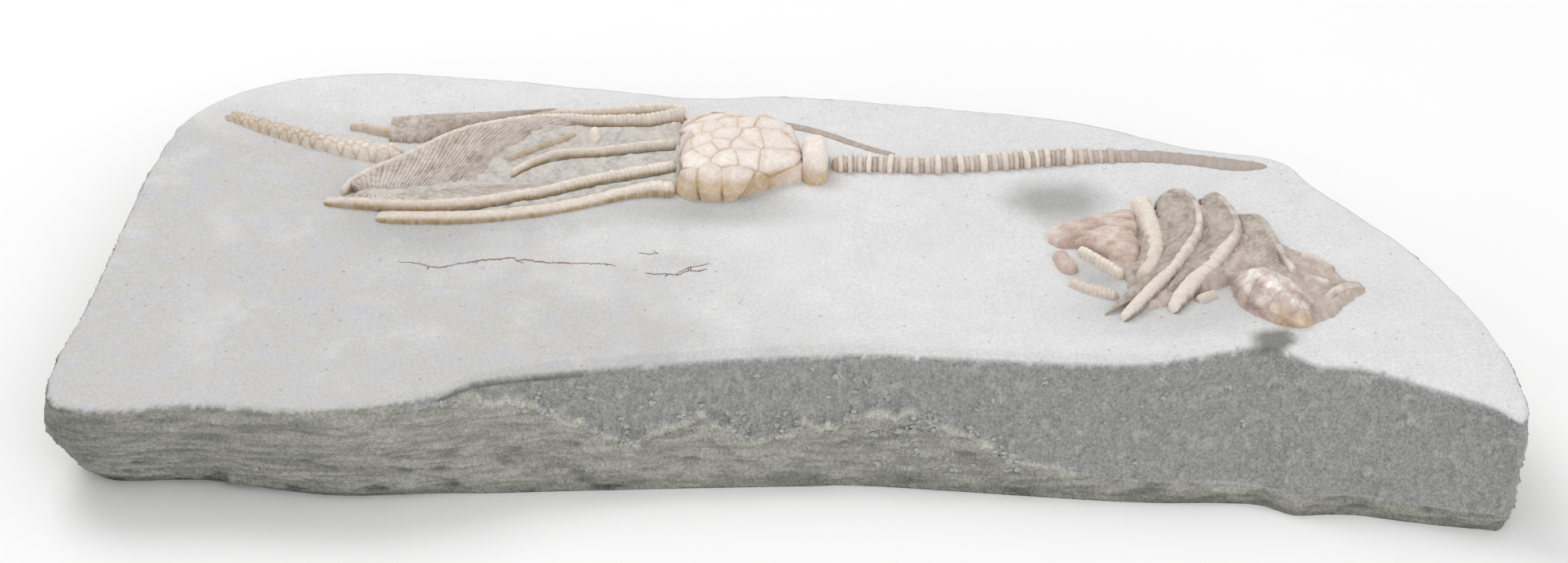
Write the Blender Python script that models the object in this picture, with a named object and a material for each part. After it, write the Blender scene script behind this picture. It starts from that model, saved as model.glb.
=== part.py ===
"""Crinoid fossil plate: two sea lilies lying in relief on a slab of siltstone.

Lengths here are in millimetres and turn into metres where a mesh is made. X runs along the
slab, Y away from the viewer, and Z up from the flat underside, which is at Z = 0.
"""

import math

import bmesh
import bpy
import numpy as np

MM = 0.001

# The rock's top face is one bedding plane, a little higher at the slab's right end.
TOP_AT_CENTRE = 14.6
TOP_SLOPE = 0.019
SOCKET_DEPTH = 0.8      # the sockets' floors lie this far below the top face
CHANNEL_DEPTH = 0.95    # and the floors of the long channels this far
SEAT_DEPTH = 0.5        # the fossils' undersides lie this far below it
SOCKET_TOP = 8.0        # a cutter stands this far above the top face
SOCKET_MARGIN = 0.45    # a channel is this much wider than the fossil, on each side

# The slab's edge, from the front left corner towards +X and round: X and Y of the rim, then
# how far the rim droops, and how far the wall stands out at half height and at the foot.
SLAB_EDGE = [
    (-83.3, -32.8, 0.2, 0.4, -4.5),
    (-65.9, -34.3, 0.2, 1.6, -3.0),
    (-52.3, -35.5, 0.2, 1.3, -1.5),
    (-39.9, -33.1, 0.3, 1.6, 0.6),
    (-34.7, -29.8, 0.5, 3.0, 4.0),
    (-25.7, -27.9, 0.8, 3.5, 5.5),
    (-12.0, -26.3, 0.8, 4.0, 6.5),
    (1.8, -25.4, 0.8, 4.0, 7.0),
    (11.0, -25.4, 0.8, 4.0, 7.0),
    (38.3, -28.3, 0.7, 4.0, 7.0),
    (50.0, -26.6, 0.4, 5.5, 9.0),
    (55.9, -25.6, 0.3, 7.0, 10.5),
    (60.5, -29.5, 0.3, 5.5, 8.7),
    (65.2, -30.4, 0.3, 5.0, 8.0),
    (69.4, -32.4, 0.3, 4.0, 6.5),
    (78.3, -37.9, 0.3, 1.8, 2.5),
    (81.8, -41.3, 0.4, 0.3, -0.8),
    (83.3, -37.3, 0.4, 0.4, -0.4),
    (82.4, -26.1, 0.3, 0.6, 0.2),
    (79.4, -15.1, 0.3, 0.8, 0.4),
    (74.8, -4.5, 0.3, 0.8, 0.2),
    (66.1, 9.3, 0.3, 1.2, 0.4),
    (62.0, 16.1, 0.3, 1.0, 0.2),
    (50.4, 19.9, 0.2, 0.8, 0.0),
    (37.8, 26.3, 0.2, 1.2, 0.5),
    (22.6, 30.3, 0.2, 0.8, 0.6),
    (2.0, 34.1, 0.2, 1.0, 0.2),
    (-13.7, 34.6, 0.2, 1.4, 0.8),
    (-35.9, 39.8, 0.2, 1.0, 0.4),
    (-56.3, 42.3, 0.2, 0.5, -0.4),
    (-68.6, 39.6, 0.3, 0.4, -0.8),
    (-76.0, 33.5, 0.3, 0.5, -1.2),
    (-79.7, 23.0, 0.3, 0.5, -1.0),
    (-82.5, -8.7, 0.3, 0.3, -1.5),
]
SLAB_SIDES = 88         # points round the slab
FOOT_ROUND = 1.2
RIM_ROUND = 0.6
SHOULDER = 0.965        # the top face is flat inside the rim's outline at this scale
BED_SHARE = 0.55        # the height of the bed's edge on the other walls, in their own heights
CORNER_EASE = 3         # points to each side that share in a point's outward direction

# The lower bed stands out in front of the fresh break above it: X and Z of that ledge along
# the front wall, and how far it stands out.
LEDGE_LINE = [
    (-84, 10.5, 0.0), (-52, 12.0, 0.4), (-40, 12.4, 0.9), (-34, 11.8, 1.4), (-28, 10.2, 1.5),
    (-22, 7.6, 1.4), (-17, 5.8, 1.2), (-10, 8.8, 1.4), (-4, 5.8, 1.2), (4, 7.0, 1.4),
    (12, 8.8, 1.3), (20, 7.2, 1.0), (27, 4.2, 0.6), (38, 2.6, 0.0), (84, 2.4, 0.0),
]

# The hollow that holds the main crown and its cup, in plan.
MAIN_SOCKET = [
    (-58.7, 8.2), (-54, 5.2), (-49, 3.6), (-43, 2.9), (-38, 2.7), (-33, 3.3), (-28, 4.3),
    (-23, 6.0), (-19, 7.6), (-15.5, 8.5), (-13.4, 8.2), (-11, 7.3), (-8, 6.9), (-5, 7.1),
    (-2, 8.5), (-0.6, 10.3), (6.3, 10.5), (6.3, 19.8), (2.8, 21.2), (-1, 24.9), (-5, 26.7),
    (-8, 27.2), (-11.3, 27.4), (-12.0, 29.8), (-17, 30.6), (-24, 30.2), (-37, 29.7),
    (-46, 29.3), (-51.6, 29.1), (-56.8, 28.6), (-57.0, 25.6), (-53, 23.6), (-50.5, 22.8),
    (-49.6, 18.4), (-53, 16.0), (-55.3, 13.6), (-56.4, 10.9), (-58.7, 10.0),
]

# The hollow that holds the small crown and the shell, in plan.
SMALL_SOCKET = [
    (30.9, -0.4), (30.9, -3.8), (31.6, -8.5), (32.9, -11.4), (33.0, -13.4), (36.4, -16.4),
    (36.3, -19.8), (38.2, -21.8), (40.8, -20.6), (43.6, -19.6), (46.1, -20.3), (48.0, -18.0),
    (51.6, -15.9), (53.2, -19.9), (56.6, -23.3), (60.2, -24.4), (62.4, -21.4), (64.2, -18.0),
    (67.6, -15.8), (68.9, -14.2), (66.8, -12.9), (65.9, -10.4), (64.4, -7.9), (61.2, -6.4),
    (60.0, -1.6), (58.2, 1.0), (55.4, 1.7), (53.8, 5.9), (51.2, 5.9), (48.6, 7.9), (46.0, 7.0),
    (44.9, 7.0), (42.2, 6.9), (42.0, 3.6), (38.2, 2.6), (33.8, 1.4),
]

COLOURS = {
    "siltstone": ((0.56, 0.57, 0.56), 0.95),
    "calcite": ((0.56, 0.47, 0.40), 0.60),
    "pale_calcite": ((0.72, 0.64, 0.56), 0.55),
    "shell_calcite": ((0.42, 0.33, 0.31), 0.30),
}


def rock_top(x):
    """The height of the bedding plane at X."""
    return TOP_AT_CENTRE + TOP_SLOPE * x


def smooth_route(points, count, closed=False):
    """count points, evenly spaced in plan, on a smooth curve through the given points."""
    p = np.array(points, float)
    if closed:
        p = np.vstack([p[-1:], p, p[:2]])
    else:
        p = np.vstack([2 * p[0] - p[1], p, 2 * p[-1] - p[-2]])
    t = np.linspace(0, 1, 13)[:-1, None]
    spans = [
        0.5 * (2 * b + (c - a) * t + (2 * a - 5 * b + 4 * c - d) * t**2
               + (3 * b - a - 3 * c + d) * t**3)
        for a, b, c, d in zip(p, p[1:], p[2:], p[3:])
    ]
    dense = np.vstack(spans + [p[-2:-1]])
    steps = np.linalg.norm(np.diff(dense[:, :2], axis=0), axis=1)
    along = np.concatenate([[0], np.cumsum(steps)])
    wanted = np.linspace(0, along[-1], count, endpoint=not closed)
    return np.stack([np.interp(wanted, along, column) for column in dense.T], axis=1)


def tangents(route, closed=False):
    """The unit direction of travel in plan at each point of a route."""
    plan = route[:, :2]
    if closed:
        step = np.roll(plan, -1, axis=0) - np.roll(plan, 1, axis=0)
    else:
        step = np.gradient(plan, axis=0)
    return step / np.linalg.norm(step, axis=1)[:, None]


def make_material(name):
    """A Principled material in one of the plate's colours."""
    colour, roughness = COLOURS[name]
    material = bpy.data.materials.new(name)
    material.use_nodes = True
    shader = material.node_tree.nodes["Principled BSDF"]
    shader.inputs["Base Color"].default_value = (*colour, 1.0)
    shader.inputs["Roughness"].default_value = roughness
    shader.inputs["Metallic"].default_value = 0.0
    return material


def skin_of(rings):
    """A bmesh skinned over rings of equal length, closed at both ends, with its vertices."""
    bm = bmesh.new()
    loops = [[bm.verts.new(np.array(point) * MM) for point in ring] for ring in rings]
    for low, high in zip(loops, loops[1:]):
        for i in range(len(low)):
            bm.faces.new((low[i - 1], low[i], high[i], high[i - 1]))
    bm.faces.new(loops[0])
    bm.faces.new(loops[-1])
    bmesh.ops.recalc_face_normals(bm, faces=bm.faces)
    return bm, loops


def object_from(bm, name, material):
    """A named object in the parts collection, shaded smooth but for its sharp edges."""
    mesh = bpy.data.meshes.new(name)
    bm.to_mesh(mesh)
    bm.free()
    mesh.shade_smooth()
    mesh.set_sharp_from_angle(angle=math.radians(40))
    thing = bpy.data.objects.new(name, mesh)
    thing.data.materials.append(materials[material])
    parts.objects.link(thing)
    return thing


def loft(name, rings, material):
    """A closed solid skinned over rings of points."""
    bm, _ = skin_of(rings)
    return object_from(bm, name, material)


def cutter(name, rings):
    """A closed solid that cuts a socket in the slab."""
    bm, _ = skin_of(rings)
    mesh = bpy.data.meshes.new(name)
    bm.to_mesh(mesh)
    bm.free()
    thing = bpy.data.objects.new(name, mesh)
    thing.hide_render = True
    thing.display_type = "WIRE"
    cutters.objects.link(thing)
    return thing


def socket(name, outline):
    """A flat-floored hollow with the given outline in plan."""
    return cutter(name, [
        [(x, y, rock_top(x) + height) for x, y in outline]
        for height in (-SOCKET_DEPTH, SOCKET_TOP)
    ])


def across(centre, side, profile):
    """One ring: a profile of offsets to the left and heights above the bedding plane."""
    ring = []
    for offset, height in profile:
        x, y = centre + side * offset
        ring.append((x, y, rock_top(x) + height))
    return ring


def channel(name, points, half_width):
    """A flat-floored groove along a route."""
    route = smooth_route(points, 2 * len(points))
    route[0, :2] -= tangents(route)[0] * SOCKET_MARGIN
    route[-1, :2] += tangents(route)[-1] * SOCKET_MARGIN
    reach = half_width + SOCKET_MARGIN
    profile = [(reach, -CHANNEL_DEPTH), (reach, SOCKET_TOP), (-reach, SOCKET_TOP),
               (-reach, -CHANNEL_DEPTH)]
    sides = [(-dy, dx) for dx, dy in tangents(route)]
    return cutter(name, [
        across(point[:2], np.array(side), profile) for point, side in zip(route, sides)
    ])


# The slab


def edge_heights(rim, ledge):
    """The heights of the slab's rings at one point of its edge, from the foot to the rim."""
    ledge = min(ledge, rim - 1.6)
    return [0.0, FOOT_ROUND, ledge - 0.6, ledge + 0.5, (ledge + rim) / 2 + 0.2,
            rim - RIM_ROUND, rim]


def wall_reach(share, belly, foot):
    """How far the wall stands outside the rim at a share of its height."""
    return foot * (1 - share) * (1 - 2 * share) + belly * 4 * share * (1 - share)


def outward_directions(edge):
    """The plan direction out of the slab at each point of its edge, eased round the corners."""
    normals = np.array([(dy, -dx) for dx, dy in tangents(edge, closed=True)])
    eased = sum(np.roll(normals, shift, axis=0) for shift in range(-CORNER_EASE, CORNER_EASE + 1))
    return eased / np.linalg.norm(eased, axis=1)[:, None]


def slab_rings():
    """Rings round the slab: foot, rounded foot, ledge, fresh break, rim and flat top."""
    edge = smooth_route(SLAB_EDGE, SLAB_SIDES, closed=True)
    columns = []
    outward = outward_directions(edge)
    ledge_x, ledge_z, ledge_out = np.transpose(LEDGE_LINE)
    for (x, y, droop, belly, foot), out in zip(edge, outward):
        facing = max(0.0, -out[1]) ** 2
        rim = rock_top(x) - droop
        ledge = facing * np.interp(x, ledge_x, ledge_z) + (1 - facing) * BED_SHARE * rim
        heights = edge_heights(rim, ledge)
        reaches = [wall_reach(z / rim, belly, foot) for z in heights]
        reaches[0] -= 0.5 * FOOT_ROUND
        reaches[2] += facing * np.interp(x, ledge_x, ledge_out)
        reaches[-1] = -RIM_ROUND
        column = [(*(np.array([x, y]) + out * reach), z) for reach, z in zip(reaches, heights)]
        inner_x, inner_y = x * SHOULDER, y * SHOULDER
        column.append((inner_x, inner_y, rock_top(inner_x)))
        columns.append(column)
    return [list(ring) for ring in zip(*columns)]


def build_slab():
    """The slab of rock, with a socket cut for every fossil."""
    slab = loft("rock_slab", slab_rings(), "siltstone")
    hollows = [
        socket("main_socket", MAIN_SOCKET),
        socket("small_socket", SMALL_SOCKET),
        channel("stem_channel", STEM_ROUTE, STEM_RADIUS),
        channel("thin_stem_channel", THIN_STEM_ROUTE, THIN_STEM_RADIUS),
        channel("tube_channel", TUBE_ROUTE, TUBE_HALF_WIDTH + PLATE_RISE),
    ]
    for hollow in hollows:
        cut = slab.modifiers.new(hollow.name, "BOOLEAN")
        cut.operation = "DIFFERENCE"
        cut.solver = "EXACT"
        cut.object = hollow
    return slab


# Arms

# A crinoid's arm is a row of small plates, so its crest and flanks swell at each one.
JOINT_SHARE = 0.86      # an arm's size at the joints between its plates
TIP_SHARE = 0.55        # and at its two ends
TIP_STATIONS = 2
FOOT_OUT = 0.12         # the flank's foot stands this far outside its shoulder
FAN_HIGH = 1.0          # heights of a fan of pinnules at its ridges and between them
FAN_LOW = 0.55


def is_left_of(route, edge, first):
    """Whether a fan's edge lies on the left of the route, seen along its travel."""
    middle = len(edge) // 2
    dx, dy = tangents(route)[first + middle]
    gap = edge[middle] - route[first + middle, :2]
    return dx * gap[1] - dy * gap[0] > 0


def arm(name, points, half_width, plates, fan=None, fan_span=(0.0, 1.0), material="calcite"):
    """A beaded arm along points of X, Y and crest height, fanned out to one side.

    fan is the outer edge of the pinnules in plan, over fan_span of the arm's length. Their
    ridges and grooves follow the arm's plates.
    """
    stations = 2 * plates + 1
    route = smooth_route(points, stations)
    sides = [np.array([-dy, dx]) for dx, dy in tangents(route)]
    shares = np.linspace(0, 1, stations)
    in_fan = [fan is not None and fan_span[0] <= share <= fan_span[1] for share in shares]
    edge = smooth_route(fan, sum(in_fan)) if fan else None
    fan_on_left = fan is not None and is_left_of(route, edge, in_fan.index(True))
    rings = []
    for k, (x, y, crest) in enumerate(route):
        from_end = min(k, stations - 1 - k)
        taper = TIP_SHARE + (1 - TIP_SHARE) * min(1.0, from_end / TIP_STATIONS)
        size = taper * (1.0 if k % 2 else JOINT_SHARE)
        w, c = half_width * size, crest * size
        profile = [
            (w + FOOT_OUT, -SEAT_DEPTH), (w, 0.45 * c), (0.62 * w, 0.86 * c), (0.0, c),
            (-0.62 * w, 0.86 * c), (-w, 0.45 * c), (-w - FOOT_OUT, -SEAT_DEPTH),
        ]
        ring = across(np.array([x, y]), sides[k], profile)
        if fan:
            foot, brow = (0, 1) if fan_on_left else (len(ring) - 1, len(ring) - 1)
            ex, ey = edge[sum(in_fan[:k])][:2] if in_fan[k] else ring[foot][:2]
            rise = (FAN_HIGH if k % 2 else FAN_LOW) * min(1.0, 0.45 * c + 0.2)
            ring[foot] = (ex, ey, rock_top(ex) - SEAT_DEPTH)
            ring.insert(brow, (ex, ey, rock_top(ex) + rise))
        rings.append(ring)
    return loft(name, rings, material)


def build_main_arms():
    """The seven arms of the main crown, closed into a bundle that points to -X."""
    arm("main_arm_1", [(-13.5, 9.8, 1.6), (-16.5, 10.1, 1.4), (-19.9, 9.3, 1.1),
                       (-23.8, 7.7, 1.0), (-28.6, 6.0, 1.0), (-33.5, 5.0, 1.0),
                       (-38.3, 4.4, 1.0), (-43.3, 4.4, 1.0), (-47.3, 4.7, 0.9),
                       (-50.2, 5.1, 0.7)], 0.82, 16)
    arm("main_arm_2", [(-13.5, 14.5, 2.0), (-15.1, 14.0, 1.9), (-18.1, 13.4, 1.7),
                       (-22.0, 12.4, 1.6), (-25.9, 11.0, 1.5), (-29.8, 9.4, 1.5),
                       (-33.7, 8.2, 1.5), (-37.6, 7.2, 1.5), (-41.5, 6.7, 1.5),
                       (-45.4, 6.7, 1.4), (-49.4, 7.2, 1.3), (-53.4, 8.0, 1.1),
                       (-57.0, 8.9, 0.7)], 0.78, 17,
        fan=[(-22, 14.1), (-28, 12.9), (-34, 12.0), (-38.5, 10.9), (-43, 9.9), (-48, 9.3),
             (-53, 9.6)], fan_span=(0.19, 0.93))
    arm("main_arm_3", [(-13.6, 19.3, 2.2), (-18.2, 19.0, 2.0), (-23.3, 18.4, 1.7),
                       (-28.0, 18.2, 1.6), (-30.3, 17.3, 1.5), (-32.7, 15.4, 1.3),
                       (-34.2, 14.1, 0.9)], 0.68, 9)
    arm("main_arm_4", [(-12.9, 25.9, 3.2), (-14.4, 25.2, 3.2), (-17.0, 24.6, 3.0),
                       (-22.6, 25.2, 2.5), (-26.7, 26.1, 2.2), (-30.1, 26.6, 2.0),
                       (-33.4, 26.2, 2.0), (-36.6, 25.3, 2.0), (-39.8, 24.1, 2.0),
                       (-42.9, 22.1, 2.0), (-45.9, 19.2, 1.9), (-48.8, 16.7, 1.8),
                       (-51.7, 14.6, 1.6), (-53.9, 12.6, 1.3), (-54.9, 10.6, 0.9)], 0.72, 20,
        fan=[(-52.9, 10.6), (-49, 10.2), (-44, 10.9), (-39.5, 12.5), (-35.5, 16.0),
             (-31.5, 19.8), (-27.5, 23.2)][::-1], fan_span=(0.31, 0.97))
    arm("main_arm_5", [(-12.6, 28.0, 3.2), (-14.4, 28.8, 3.2), (-17.0, 28.9, 3.0),
                       (-20.4, 28.5, 2.8), (-23.7, 28.3, 2.4), (-30.3, 28.6, 2.0),
                       (-36.8, 28.2, 1.9), (-41.7, 28.0, 1.9), (-46.4, 27.9, 1.8),
                       (-50.4, 27.9, 1.4)], 0.70, 14,
        fan=[(-35, 27.0), (-39, 25.9), (-43, 24.2), (-46.5, 23.2), (-50.4, 23.4)],
        fan_span=(0.56, 1.0))
    arm("main_arm_6", [(-55.8, 27.0, 0.9), (-54.0, 26.7, 1.0), (-51.8, 25.7, 1.0)], 0.6, 3)
    arm("main_arm_7", [(-13.6, 23.4, 2.6), (-14.9, 22.6, 2.0), (-16.2, 21.7, 1.6)], 0.6, 3)


def build_small_arms():
    """The arms and arm pieces of the small crown, curled over towards the front."""
    arm("small_arm_1", [(35.3, -5.5, 1.2), (37.1, -7.5, 1.3), (39.2, -10.2, 1.3),
                        (40.1, -11.3, 1.1)], 0.62, 5, material="pale_calcite")
    arm("small_arm_2", [(34.1, -12.4, 0.9), (36.1, -14.0, 1.0), (38.2, -15.0, 0.9)], 0.75, 4)
    arm("small_arm_3", [(43.5, 5.3, 1.9), (44.1, 0.8, 2.1), (44.4, -3.8, 2.1),
                        (44.2, -7.3, 2.0), (43.2, -10.6, 1.7), (42.3, -12.5, 1.1)], 0.92, 8,
        fan=[(43.0, -2.5), (42.6, -7.0), (41.6, -10.8), (40.9, -12.4)], fan_span=(0.42, 1.0))
    arm("small_arm_4", [(46.3, 3.5, 1.8), (47.1, 5.6, 2.2), (48.6, 6.2, 2.4),
                        (49.8, 4.5, 2.5), (50.3, 0.8, 2.6), (49.9, -3.4, 2.6),
                        (48.6, -6.9, 2.6), (46.2, -11.2, 2.3), (43.5, -15.0, 1.9),
                        (40.9, -18.5, 1.4), (39.3, -20.4, 0.8)], 0.92, 14,
        fan=[(47.4, 1.6), (46.7, -2.0), (46.3, -6.4), (45.0, -10.4), (42.1, -14.3),
             (39.2, -17.4), (37.4, -19.2)], fan_span=(0.27, 1.0))
    arm("small_arm_5", [(52.3, 4.4, 1.8), (53.5, 2.7, 2.4), (54.4, -0.8, 2.6),
                        (54.4, -4.4, 2.6), (52.8, -7.6, 2.5), (51.0, -10.5, 2.3),
                        (48.9, -13.0, 1.9), (46.7, -16.1, 1.5), (45.2, -18.9, 0.9)], 0.90, 11,
        fan=[(51.8, 1.8), (51.7, -1.9), (50.5, -6.4), (48.3, -10.6), (46.1, -14.0),
             (44.3, -17.2)], fan_span=(0.12, 0.92))
    arm("small_arm_6", [(56.5, 0.3, 1.4), (57.6, -0.7, 1.8), (58.3, -3.2, 2.1),
                        (58.7, -5.8, 2.1), (59.3, -8.2, 1.9), (59.9, -10.4, 1.3)], 0.80, 6,
        fan=[(56.0, -1.8), (56.0, -4.4), (55.6, -7.2), (56.0, -9.8)], fan_span=(0.2, 1.0))
    arm("small_arm_7", [(48.3, -16.6, 0.8), (49.4, -15.9, 0.9), (50.7, -15.1, 0.8)], 0.5, 2)
    arm("small_arm_8", [(61.4, -7.9, 1.2), (62.6, -8.5, 1.3), (64.0, -9.6, 1.1),
                        (64.7, -11.0, 0.7)], 0.65, 3)
    arm("small_arm_9", [(61.2, -12.7, 1.0), (62.5, -13.0, 1.1), (64.3, -13.8, 0.8)], 0.6, 3)
    arm("small_arm_10", [(63.1, -17.6, 1.0), (64.2, -16.1, 1.2), (65.7, -14.9, 1.2),
                         (67.7, -14.3, 0.9)], 0.55, 3)


# Plated bodies

PLATE_STAGGER = 0.20    # how far a seam steps to and fro between six-sided plates
PLATE_SEAM = 0.20       # half the width of a seam
PLATE_RISE = 0.22       # how far a plate stands above it


def plated_body(name, rings, material):
    """A loft whose skin is laid in staggered six-sided plates; its rings start on the floor."""
    staggered = [[np.array(point) for point in ring] for ring in rings]
    last = len(rings) - 1
    for i in range(1, last):
        for j in range(1, len(rings[i]) - 1):
            towards = i - 1 if (i + j) % 2 == 0 else i + 1
            step = np.array(rings[towards][j]) - np.array(rings[i][j])
            staggered[i][j] = staggered[i][j] + PLATE_STAGGER * step
    bm, loops = skin_of(staggered)
    corners = {vert for loop in loops for vert in (loop[0], loop[-1])}
    floor = {face for face in bm.faces if corners.issuperset(face.verts)}
    seams = [
        bm.edges.get((low[j], high[j]))
        for i, (low, high) in enumerate(zip(loops, loops[1:]))
        for j in range(1, len(low) - 1) if (i + j) % 2 == 0
    ]
    bmesh.ops.dissolve_edges(bm, edges=seams, use_verts=False)
    ends = {face for face in bm.faces if len(face.verts) == len(rings[0])}
    plates = [face for face in bm.faces if face not in floor and face not in ends]
    bmesh.ops.inset_individual(bm, faces=plates, thickness=PLATE_SEAM * MM,
                               depth=PLATE_RISE * MM, use_even_offset=True)
    return object_from(bm, name, material)


def dome_ring(x, front, back, height, points):
    """A ring across X: up from the floor at the front, over the dome and down at the back."""
    middle, half = (front + back) / 2, (back - front) / 2
    ring = []
    for turn in np.linspace(0, math.pi, points):
        rise = height * math.sin(turn) ** 0.75 if 0 < turn < math.pi - 1e-6 else -SEAT_DEPTH
        ring.append((x, middle - half * math.cos(turn), rock_top(x) + rise))
    return ring


CUP_STATIONS = [        # X, front and back edges, and height of the main cup
    (-13.0, 9.4, 23.4, 2.9), (-10.6, 8.5, 25.2, 3.9), (-8.0, 8.1, 25.6, 4.2),
    (-5.4, 8.4, 25.0, 4.3), (-2.8, 9.8, 24.0, 4.2), (-0.4, 11.5, 22.4, 3.9),
    (2.0, 12.0, 20.2, 3.4),
]
RING_STATIONS = [       # X, and radius of the basal ring below the cup
    (2.3, 3.5), (3.1, 4.0), (4.6, 4.0), (5.5, 3.4),
]
RING_Y = 15.3
SMALL_CUP_STATIONS = [
    (31.8, -3.2, -1.0, 0.9), (33.4, -4.4, -0.2, 1.5), (35.0, -4.4, 0.4, 1.8),
    (37.0, -5.6, 1.0, 2.0), (39.0, -7.9, 1.5, 2.0), (40.4, -9.1, 1.9, 1.9),
    (41.6, -8.9, 2.2, 1.6),
]


def build_cups():
    """Both cups, the ring that joins the main one to its stem, and a slipped plate."""
    plated_body("main_cup", [dome_ring(*s, points=11) for s in CUP_STATIONS], "pale_calcite")
    loft("basal_ring", [
        dome_ring(x, RING_Y - radius, RING_Y + radius, radius, points=11)
        for x, radius in RING_STATIONS
    ], "pale_calcite")
    plated_body("small_cup", [dome_ring(*s, points=7) for s in SMALL_CUP_STATIONS], "calcite")
    arm("small_radial", [(32.9, -5.9, 1.2), (33.4, -8.0, 1.4), (34.3, -10.2, 1.2)], 1.05, 1)


TUBE_ROUTE = [          # X, Y and crest of the plated tube, from its tip to the crown
    (-72.3, 30.2, 0.8), (-70.5, 29.6, 1.2), (-67.1, 27.6, 1.3), (-63.7, 25.6, 1.4),
    (-60.4, 23.8, 1.5), (-57.1, 22.2, 1.6), (-54.4, 21.1, 1.7), (-51.7, 20.1, 1.8),
    (-48.4, 20.1, 1.6),
]
TUBE_HALF_WIDTH = 1.55
TUBE_STATIONS = 12


def build_tube():
    """The anal tube, a tapering rod of small plates."""
    route = smooth_route(TUBE_ROUTE, TUBE_STATIONS)
    widths = np.linspace(0.55, 1.0, TUBE_STATIONS) * TUBE_HALF_WIDTH
    widths[0] *= 0.7
    rings = []
    for (x, y, crest), (dx, dy), w in zip(route, tangents(route), widths):
        profile = [(w, -SEAT_DEPTH), (w, 0.35 * crest), (0.55 * w, 0.9 * crest), (0.0, crest),
                   (-0.55 * w, 0.9 * crest), (-w, 0.35 * crest), (-w, -SEAT_DEPTH)]
        rings.append(across(np.array([x, y]), np.array([-dy, dx]), profile))
    return plated_body("anal_tube", rings, "calcite")


# Stems

STEM_ROUTE = [          # X and Y of the main stem, from the basal ring to the slab's edge
    (6.0, 15.5), (11.9, 15.2), (16.9, 14.7), (21.9, 14.9), (26.9, 15.3), (32.0, 16.0),
    (37.0, 16.4), (42.0, 16.6), (47.0, 16.5), (51.9, 15.5), (56.8, 14.2), (60.4, 13.9),
]
STEM_RADIUS = 1.3
STEM_CENTRE = 0.3       # the stem's centre line lies this far above the bedding plane
STEM_PITCH = 2.7        # from one large ring to the next
THIN_STEM_ROUTE = [
    (-9.6, 29.4), (-5.6, 28.2), (-1.0, 26.6), (2.8, 25.1), (6.0, 23.2), (9.0, 21.0),
    (12.0, 19.1), (14.2, 18.1),
]
THIN_STEM_RADIUS = 0.65


def half_sunk(radius, centre, arc_points):
    """A round profile whose lower part is cut off level where it sits in its channel."""
    low = math.asin(min(0.95, (centre + SEAT_DEPTH) / radius))
    turns = np.linspace(-low, math.pi + low, arc_points)
    return [(radius * math.cos(t), centre + radius * math.sin(t)) for t in turns]


def build_stems():
    """The main stem, ringed by its larger columnals, and the thin one behind the cup."""
    length = STEM_ROUTE[-1][0] - STEM_ROUTE[0][0]
    nodals = round(length / STEM_PITCH)
    pattern = [0.88, 1.12, 1.12]
    shares = pattern * nodals + [0.85]
    route = smooth_route(STEM_ROUTE, len(shares))
    rings = []
    for (x, y), (dx, dy), share in zip(route, tangents(route), shares):
        profile = half_sunk(STEM_RADIUS * share, STEM_CENTRE, 8)
        rings.append(across(np.array([x, y]), np.array([-dy, dx]), profile))
    loft("main_stem", rings, "calcite")
    route = smooth_route(THIN_STEM_ROUTE, 15)
    rings = [
        across(np.array([x, y]), np.array([-dy, dx]), half_sunk(THIN_STEM_RADIUS, 0.1, 6))
        for (x, y), (dx, dy) in zip(route, tangents(route))
    ]
    loft("thin_stem", rings, "calcite")


# Lumps



def lump(name, x, y, half_length, half_width, height, turn, segments, material):
    """A rounded body cut off level below, its long axis turned from +X in degrees."""
    bm = bmesh.new()
    bmesh.ops.create_uvsphere(bm, u_segments=segments, v_segments=segments // 2, radius=1.0)
    angle = math.radians(turn)
    for vert in bm.verts:
        swell = 1.0 - 0.12 * vert.co.x
        along, aside = vert.co.x * half_length, vert.co.y * half_width * swell
        vert.co.z *= height * swell
        vert.co.x = along * math.cos(angle) - aside * math.sin(angle)
        vert.co.y = along * math.sin(angle) + aside * math.cos(angle)
    bmesh.ops.bisect_plane(bm, geom=[*bm.verts, *bm.edges, *bm.faces],
                           plane_co=(0, 0, -SEAT_DEPTH), plane_no=(-TOP_SLOPE, 0, 1),
                           clear_inner=True)
    bmesh.ops.holes_fill(bm, edges=[edge for edge in bm.edges if edge.is_boundary])
    bmesh.ops.recalc_face_normals(bm, faces=bm.faces)
    bmesh.ops.scale(bm, vec=(MM, MM, MM), verts=bm.verts)
    thing = object_from(bm, name, material)
    thing.location = (x * MM, y * MM, rock_top(x) * MM)
    return thing


for old in list(bpy.data.objects):
    bpy.data.objects.remove(old, do_unlink=True)
parts = bpy.data.collections.new("crinoid_fossil_plate")
cutters = bpy.data.collections.new("socket_cutters")
bpy.context.scene.collection.children.link(parts)
bpy.context.scene.collection.children.link(cutters)
materials = {name: make_material(name) for name in COLOURS}

build_slab()
build_cups()
build_stems()
build_tube()
build_main_arms()
build_small_arms()
lump("loose_ossicle", -24.0, 22.0, 1.0, 0.85, 1.2, 60, 10, "pale_calcite")
lump("cap_shell", 57.2, -17.4, 6.3, 3.5, 3.9, -53, 18, "shell_calcite")
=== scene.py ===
import math
from random import Random

import bmesh
import bpy
import numpy as np
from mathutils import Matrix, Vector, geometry, noise
from mathutils.bvhtree import BVHTree


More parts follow.
